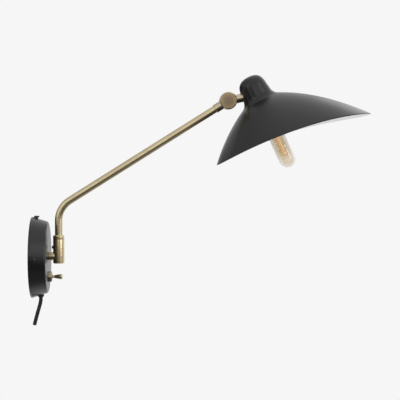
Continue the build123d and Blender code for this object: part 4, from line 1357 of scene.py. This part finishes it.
@dataclass
class Shade:
    """Thin shade: a small dome that flares into a bell with an egg-shaped rim."""

    sheet: float = 1.2
    rim_edge: float = 0.35
    dome_top: float = -33.2
    crown_r: float = 13.1
    shoulder: tuple[float, float] = (17.7, -27.2)
    wall_top: tuple[float, float] = (18.9, -17.7)
    wall_end: tuple[float, float] = (20.5, -5.5)
    neck_fullness: float = 0.6
    bell_start: tuple[float, float] = (27.0, 4.02)
    start_slope: float = 0.493
    bell_end: tuple[float, float] = (132.0, 98.1)
    end_slope: float = 1.328
    rim_mean: float = 102.36
    rim_waves: tuple[float, ...] = (15.38, 6.23, 0.85, 0.35)
    around: int = 216
    rows: tuple[int, ...] = (16, 6, 14, 44)

    def curves(self) -> list[list[tuple[float, float]]]:
        """Control points of the dome, wall, neck and bell, as radius and depth."""
        lean = (self.wall_end[0] - self.wall_top[0]) / (self.wall_end[1] - self.wall_top[1])
        reach = self.bell_start[0] - self.wall_end[0]
        drop = self.bell_start[1] - self.wall_end[1]
        run = (drop - self.start_slope * reach) / (1 - self.start_slope * lean)
        corner = (self.wall_end[0] + lean * run, self.wall_end[1] + run)
        full = self.neck_fullness
        near = [tuple(e + full * (c - e) for e, c in zip(end, corner))
                for end in (self.wall_end, self.bell_start)]
        third = (self.bell_end[0] - self.bell_start[0]) / 3
        wall = [tuple(a + (b - a) * step / 3 for a, b in zip(self.wall_top, self.wall_end))
                for step in range(4)]
        return [
            [(0.0, self.dome_top), (self.crown_r, self.dome_top), self.shoulder, self.wall_top],
            wall,
            [self.wall_end, near[0], near[1], self.bell_start],
            [self.bell_start, (self.bell_start[0] + third, self.bell_start[1] + third * self.start_slope),
             (self.bell_end[0] - third, self.bell_end[1] - third * self.end_slope), self.bell_end],
        ]

    def rim_share(self, growth: Growth, angle: Value) -> Value:
        """Share of the bell's curve that the rim leaves, at an angle from the front."""
        radius = growth.size("Rim Mean") + 0.0
        for number in range(1, len(self.rim_waves) + 1):
            wave = angle.math("COSINE", angle * number, 0.0)
            radius = radius + wave * growth.size(f"Rim Wave {number}")
        return (radius - growth.size("Bell Start")) / (growth.size("Bell End") - growth.size("Bell Start"))

    def patch(self, growth: Growth, curve: list[tuple[float, float]], rows: int, trimmed: bool) -> Value:
        """Band of the shade that turns one curve.

        Args:
            growth: the geometry tree.
            curve: control points of the curve.
            rows: points along the curve.
            trimmed: whether the rim cuts it.

        Returns:
            The band's geometry.
        """
        grid = growth.add("GeometryNodeMeshGrid", None,
                          {"Size X": 1.0, "Size Y": 1.0, "Vertices X": growth.size("Around"),
                           "Vertices Y": rows})
        x, y, _ = growth.position()
        angle = (x + 0.5) * math.tau
        share = y + 0.5
        if trimmed:
            share = share * self.rim_share(growth, angle)
        radius = bezier(share, [point[0] * MM for point in curve])
        depth = bezier(share, [point[1] * MM for point in curve])
        place = growth.vector(radius * angle.math("SINE", angle, 0.0),
                              radius * angle.math("COSINE", angle, 0.0), depth)
        return growth.add("GeometryNodeSetPosition", None, {0: grid, "Position": place})

    def sheet_mesh(self) -> bpy.types.Mesh:
        """Outside of the shade as one thin sheet, made by a geometry tree."""
        sizes = {"Around": self.around + 1, "Rim Mean": self.rim_mean * MM,
                 "Bell Start": self.bell_start[0] * MM, "Bell End": self.bell_end[0] * MM}
        for number, wave in enumerate(self.rim_waves, 1):
            sizes[f"Rim Wave {number}"] = wave * MM
        growth = Growth("flared_shade", sizes)
        bands = growth.tree.nodes.new("GeometryNodeJoinGeometry")
        curves = self.curves()
        for curve, rows in zip(curves, self.rows):
            feed(bands.inputs[0], self.patch(growth, curve, rows, curve is curves[-1]))
        whole = growth.add("GeometryNodeMergeByDistance", None,
                           {0: Value(bands.outputs[0]), "Distance": 1e-6})
        mesh = growth.grow(whole, BLACK_PAINT.material())
        mesh.transform(LAYOUT.shade().matrix() @ Matrix.Scale(1 / MM, 4))
        return mesh

    def build(self) -> None:
        """Give the sheet its thickness, black outside and white inside."""
        blank = Blank()
        blank.bm.from_mesh(self.sheet_mesh())
        mesh = blank.mesh("shade_sheet")
        top = min(mesh.polygons, key=lambda face: face.center.dot(LAYOUT.shade_axis))
        if top.normal.dot(LAYOUT.shade_axis) > 0:
            mesh.flip_normals()
        mesh.materials.append(BLACK_PAINT.material())
        mesh.materials.append(WHITE_PAINT.material())
        holder = holder_of(mesh)
        wall = holder.modifiers.new("wall", "SOLIDIFY")
        wall.thickness = self.sheet * MM
        wall.offset = -1.0
        wall.use_even_offset = True
        wall.material_offset = 1
        edge = holder.modifiers.new("edge", "BEVEL")
        edge.width = self.rim_edge * MM
        edge.segments = 3
        edge.limit_method = "ANGLE"
        edge.angle_limit = math.radians(50)
        set_piece("shade_skin", applied(holder), Body.HEAD, ("shade",))


@dataclass
class Lampholder:
    """Moulded lampholder on its strip inside the shade."""

    radius: float = 13.2
    wall: float = 1.7
    top: float = 1.5
    cap_floor: float = 5.0
    parting: float = 16.0
    end: float = 40.5
    nipple_r: float = 4.97
    sleeve_r: float = 8.22
    groove: float = 0.5
    groove_width: float = 2.0
    grooves: tuple[float, ...] = (22.0, 26.0, 30.0, 34.0)

    def build_cap(self) -> None:
        """Upper half with a rounded shoulder."""
        inner = self.radius - self.wall
        outline = eased([
            (self.nipple_r, self.top, 0),
            (self.radius, self.top, 2.2),
            (self.radius, self.parting, 0.3),
            (inner, self.parting, 0),
            (inner, self.cap_floor, 0.5),
            (self.nipple_r, self.cap_floor, 0),
        ], closed=True)
        set_turned("holder_top", outline, LAYOUT.holder(), Body.HEAD, ("holder_cap",),
                   PHENOLIC, closed=True)

    def build_body(self) -> None:
        """Skirt with shallow grooves round it."""
        corners = [(self.sleeve_r, self.parting, 0), (self.radius, self.parting, 0.3)]
        floor_r = self.radius - self.groove
        for start in self.grooves:
            end = start + self.groove_width
            corners += [(self.radius, start, 0.3), (floor_r, start + self.groove, 0.3), (floor_r, end, 0.3),
                        (self.radius, end + self.groove, 0.3)]
        corners += [(self.radius, self.end, 0.8), (self.sleeve_r, self.end, 0.4)]
        set_turned("holder_skirt", eased(corners, closed=True, steps=4), LAYOUT.holder(), Body.HEAD,
                   ("holder_body",), PHENOLIC, closed=True)

    def build(self) -> None:
        """Build the lampholder's pieces."""
        self.build_cap()
        self.build_body()


@dataclass
class Bulb:
    """Glass and filaments of a tubular bulb, whose screw cap is among the fittings."""

    radius: float = 11.2
    glass: float = 0.8
    tip: float = 100.0
    neck_r: float = 6.5
    neck_end: float = 42.5
    shoulder: float = 51.0
    mouth: float = 40.0
    neck_steps: int = 12
    crown_steps: int = 18
    stem_r: float = 4.6
    stem_waist: float = 0.8
    stem_taper: float = 4.0
    stem_tip_r: float = 2.2
    stem_tip: float = 54.0
    sticks: int = 4
    stick_r: float = 0.9
    stick_ring: float = 1.4
    stick_start: float = 54.6
    stick_length: float = 28.0
    tube_r: float = 7.2
    tube_wall: float = 0.5
    tube_tip: float = 95.6
    tube_corner: float = 5.0

    def outline(self, inset: float) -> list[tuple[float, float]]:
        """Glass profile from the cap to the tip, moved in by an inset."""
        radius, neck = self.radius - inset, self.neck_r - inset
        middle = (self.neck_end + self.shoulder) / 2
        points = [(neck, self.mouth)]
        for step in range(self.neck_steps + 1):
            t = step / self.neck_steps
            u = 1 - t
            points.append((u ** 3 * neck + 3 * u * u * t * neck + 3 * u * t * t * radius + t ** 3 * radius,
                           u ** 3 * self.neck_end + 3 * u * t * middle + t ** 3 * self.shoulder))
        crown = self.tip - self.radius
        for step in range(self.crown_steps):
            angle = math.pi / 2 * step / self.crown_steps
            points.append((radius * math.cos(angle), crown + radius * math.sin(angle)))
        return points + [(0.0, crown + radius)]

    def build_glass(self) -> None:
        """Hollow glass with a round end."""
        outline = self.outline(0.0)[::-1] + self.outline(self.glass)
        set_turned("bulb_tube", outline, LAYOUT.holder(), Body.HEAD, ("bulb_glass",),
                   CLEAR_GLASS, steps=ROUND_STEPS)

    def build_stem(self) -> None:
        """Glass stem that carries the filaments."""
        outline = eased([
            (0, self.mouth, 0),
            (self.stem_r, self.mouth, 0),
            (self.stem_r * self.stem_waist, self.mouth + self.stem_taper, 3.0),
            (self.stem_tip_r, self.stem_tip - self.stem_taper, 3.0),
            (self.stem_tip_r, self.stem_tip, 0.8),
            (0, self.stem_tip, 0),
        ])
        set_turned("glass_stem", outline, LAYOUT.holder(), Body.HEAD, ("bulb_stem",),
                   AMBER_GLASS, steps=SMALL_STEPS)

    def build_inner_tube(self) -> None:
        """Amber tube around the filaments, open at the stem."""
        bore, inner_tip = self.tube_r - self.tube_wall, self.tube_tip - self.tube_wall
        outline = eased([(0, self.tube_tip, 0), (self.tube_r, self.tube_tip, self.tube_corner),
                         (self.tube_r, self.stem_tip, 0), (bore, self.stem_tip, 0),
                         (bore, inner_tip, self.tube_corner - self.tube_wall), (0, inner_tip, 0)], steps=12)
        set_turned("amber_tube", outline, LAYOUT.holder(), Body.HEAD, ("inner_tube",),
                   AMBER_GLASS, steps=ROUND_STEPS)

    def build_filaments(self) -> None:
        """Round-ended sticks set in a ring by a geometry tree."""
        own = Datum((0, 0, 0), (0, 0, 1), (1, 0, 0))
        end = self.stick_start + self.stick_length
        outline = eased([(0, self.stick_start, 0), (self.stick_r, self.stick_start, 0.6),
                         (self.stick_r, end, 0.6), (0, end, 0)])
        start = Blank().turn(outline, own, steps=16).mesh("stick")
        growth = Growth("filament_ring", {"Ring Radius": self.stick_ring * MM, "Sticks": self.sticks})
        circle = growth.add("GeometryNodeMeshCircle", None,
                            {"Vertices": growth.size("Sticks"), "Radius": growth.size("Ring Radius")})
        ring = growth.add("GeometryNodeInstanceOnPoints", None,
                          {"Points": circle, "Instance": growth.size("Geometry")})
        mesh = growth.grow(ring, AMBER.material(), start)
        mesh.transform(LAYOUT.holder().matrix() @ Matrix.Scale(1 / MM, 4))
        set_piece("filament_sticks", mesh, Body.HEAD, ("filaments",))

    def build(self) -> None:
        """Build the bulb's pieces."""
        self.build_glass()
        self.build_stem()
        self.build_inner_tube()
        self.build_filaments()


@dataclass
class Fittings:
    """Small pieces with their CAD shape, some of them with softer edges."""

    flat_angle: float = 1.0
    sharp_angle: float = 40.0
    eased_nodes: dict[str, tuple[Body, str, Finish, float]] = field(default_factory=lambda: {
        "wall_bracket": (Body.WALL, "zinc_steel", ZINC, 0.2),
        "nipple_nut": (Body.WALL, "zinc_steel", ZINC, 0.25),
        "switch_body": (Body.WALL, "black_phenolic", PHENOLIC, 0.5),
        "terminal_block": (Body.WALL, "white_plastic", NYLON, 0.8),
        "stub_nut": (Body.HEAD, "zinc_steel", ZINC, 0.3),
        "holder_strip": (Body.HEAD, "zinc_steel", ZINC, 0.2),
        "holder_nut": (Body.HEAD, "zinc_steel", ZINC, 0.3),
    })
    plain_nodes: dict[str, Finish] = field(default_factory=lambda: {
        "nipple": ZINC, "nipple_washer": ZINC, "spring_washer": ZINC, "stub_saddle": ZINC,
        "holder_nipple": ZINC, "barrel_bush": BRONZE, "switch_tags": SHINY_BRASS,
        "terminal_screws": SHINY_BRASS, "holder_sleeve": SHINY_BRASS, "holder_tongue": SHINY_BRASS,
        "mains_leads": LEAD, "switch_leads": LEAD,
        "lamp_lead": SHEATH, "arm_wire": SHEATH, "holder_wire": SHEATH, "friction_washer": FIBRE,
        "bulb_cap": CAP_METAL, "bulb_contact": CAP_METAL, "filament_spiders": CAP_METAL,
        "bulb_insulator": FUSED,
    })

    def eased_copy(self, node: str, width: float) -> bpy.types.Mesh:
        """Copy of a CAD node with a small chamfer on its sharp edges."""
        blank = Blank()
        blank.bm.from_mesh(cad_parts[node].data)
        bmesh.ops.remove_doubles(blank.bm, verts=blank.bm.verts, dist=1e-6)
        bmesh.ops.dissolve_limit(blank.bm, angle_limit=math.radians(self.flat_angle), verts=blank.bm.verts,
                                 edges=blank.bm.edges)
        sharp = [edge for edge in blank.bm.edges
                 if edge.is_manifold and edge.calc_face_angle(0.0) > math.radians(self.sharp_angle)]
        bmesh.ops.bevel(blank.bm, geom=sharp, offset=width * MM, offset_type="OFFSET", segments=1,
                        affect="EDGES", clamp_overlap=True)
        return blank.mesh(node)

    def build(self) -> None:
        """Dress the pieces, with softer edges on those that are bent or moulded."""
        for node, (body, slot, finish, width) in self.eased_nodes.items():
            set_piece(node + "_eased", self.eased_copy(node, width), body, (node,), (finish,))
        for node, finish in self.plain_nodes.items():
            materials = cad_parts[node].data.materials
            materials.clear()
            materials.append(finish.material())
            LOG.info("%s keeps its shape, in %s", node, finish.name)


@dataclass(frozen=True)
class SoftBox:
    """Soft box of the studio: its place and size in metres and its power in watts."""

    name: str
    place: Place
    size: tuple[float, float]
    power: float


@dataclass
class Studio:
    """Pale floor, soft light and the photograph's camera. Places are in metres."""

    floor_z: float = -0.9
    floor_wide: float = 4.4
    floor_front: float = 0.9
    floor_back: float = 2.6
    front_grey: float = 0.02
    left_shade: float = 0.25
    low_shade: float = 0.8
    card_shade: float = 0.95
    card_fall: float = 0.5
    ground_grey: float = 0.05
    ground_right: float = 0.2
    camera_at: Place = (0.13087, -1.22220, 0.09778)
    camera_aim: Place = (0.22595, 0.0, 0.07609)
    camera_roll: float = -0.09
    lens: float = 81.26
    sensor: float = 36.0
    soft_boxes: tuple[SoftBox, ...] = (
        SoftBox("key_light", (1.35, -0.97, 0.45), (0.45, 1.1), 6.4),
        SoftBox("fill_light", (-0.95, -0.97, 0.45), (0.45, 1.1), 1.6),
        SoftBox("front_light", (0.17, -1.35, 0.37), (0.75, 0.45), 0.9),
        SoftBox("edge_light", (1.05, 1.0, 0.85), (0.6, 0.6), 0.8),
    )
    aim: Place = (0.22, 0.0, 0.1)

    def build_floor(self) -> None:
        """Pale floor well below and behind the lamp."""
        left, right = self.aim[0] - self.floor_wide / 2, self.aim[0] + self.floor_wide / 2
        corners = [(left, self.floor_front, self.floor_z), (right, self.floor_front, self.floor_z),
                   (right, self.floor_back, self.floor_z), (left, self.floor_back, self.floor_z)]
        mesh = bpy.data.meshes.new("floor")
        mesh.from_pydata(corners, [], [(0, 1, 2, 3)])
        mesh.materials.append(PALE_FLOOR.material())
        holder_of(mesh)

    def build_world(self) -> None:
        """White room, of which mirrored rays see a dark front, a dim left side and a dark card behind.

        Each band runs between two components of the ray's direction.
        """
        world = bpy.data.worlds.new("studio")
        world.use_nodes = True
        bpy.context.scene.world = world
        graph = Shading(world.node_tree)
        x, y, z = graph.parts(graph.add("ShaderNodeTexCoord", out="Generated"))
        left = graph.spread(x, -0.2, -0.7)
        low = graph.spread(z, -0.15, -0.6) * graph.spread(x, 0.2, 0.6)
        behind = graph.spread(y, -0.25, 0.15) * (1 - self.low_shade * low)
        above = graph.spread(z, -0.3, 0.4)
        card = graph.spread(x, -0.1, -0.4) * graph.spread(y, 0.1, 0.45) * graph.spread(z, -0.7, -0.35)
        card_depth = self.card_shade - self.card_fall * graph.spread(z, 0.15, 0.3)
        dim = (1 - self.left_shade * left) * (1 - card * card_depth)
        right = graph.spread(x, 0.3, 0.45)
        ground = (self.ground_grey + self.ground_right * right) * graph.spread(z, -0.35, -0.7)
        lit = behind.math("MAXIMUM", behind.math("MAXIMUM", behind, above), ground)
        room = self.front_grey + (1 - self.front_grey) * dim * lit
        mirrored = graph.add("ShaderNodeLightPath", out="Is Glossy Ray")
        through = graph.add("ShaderNodeLightPath", out="Is Transmission Ray")
        level = 1 - mirrored * (1 - through) * (1 - room)
        back = world.node_tree.nodes["Background"]
        back.inputs["Color"].default_value = (BACKGROUND,) * 3 + (1.0,)
        feed(back.inputs["Strength"], level)

    def build_lights(self) -> None:
        """Tall soft boxes on both sides of the camera, a wide one above it and one behind the lamp."""
        for box in self.soft_boxes:
            light = bpy.data.lights.new(box.name, "AREA")
            light.shape = "RECTANGLE"
            light.size, light.size_y = box.size
            light.energy = box.power
            lamp = bpy.data.objects.new(box.name, light)
            lamp.location = box.place
            lamp.rotation_euler = (Vector(self.aim) - Vector(box.place)).to_track_quat("-Z", "Y").to_euler()
            bpy.context.scene.collection.objects.link(lamp)

    def build_camera(self) -> None:
        """Camera fitted to the photograph."""
        data = bpy.data.cameras.new("camera")
        data.lens = self.lens
        data.sensor_width = self.sensor
        data.sensor_fit = "HORIZONTAL"
        camera = bpy.data.objects.new("camera", data)
        camera.location = self.camera_at
        direction = Vector(self.camera_aim) - Vector(self.camera_at)
        level = direction.to_track_quat("-Z", "Y")
        camera.rotation_euler = (level @ Quaternion((0, 0, 1), math.radians(self.camera_roll))).to_euler()
        bpy.context.scene.collection.objects.link(camera)
        bpy.context.scene.camera = camera

    def build(self) -> None:
        """Set the stage."""
        bpy.context.scene.view_settings.view_transform = "Standard"
        self.build_camera()
        self.build_world()
        self.build_lights()
        self.build_floor()


def main() -> None:
    """Build the lamp around its frame, piece by piece."""
    logging.basicConfig(level=logging.INFO, format="%(name)s: %(message)s")
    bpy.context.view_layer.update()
    Studio().build()
    for assembly in (MainsCord(), WallCup(), ArmPivot(), ToggleSwitch(), Arm(), Knuckle(), Shade(),
                     Lampholder(), Bulb(), Fittings()):
        assembly.build()
        LOG.info("%s done", type(assembly).__name__)


if __name__ == "__main__":
    main()
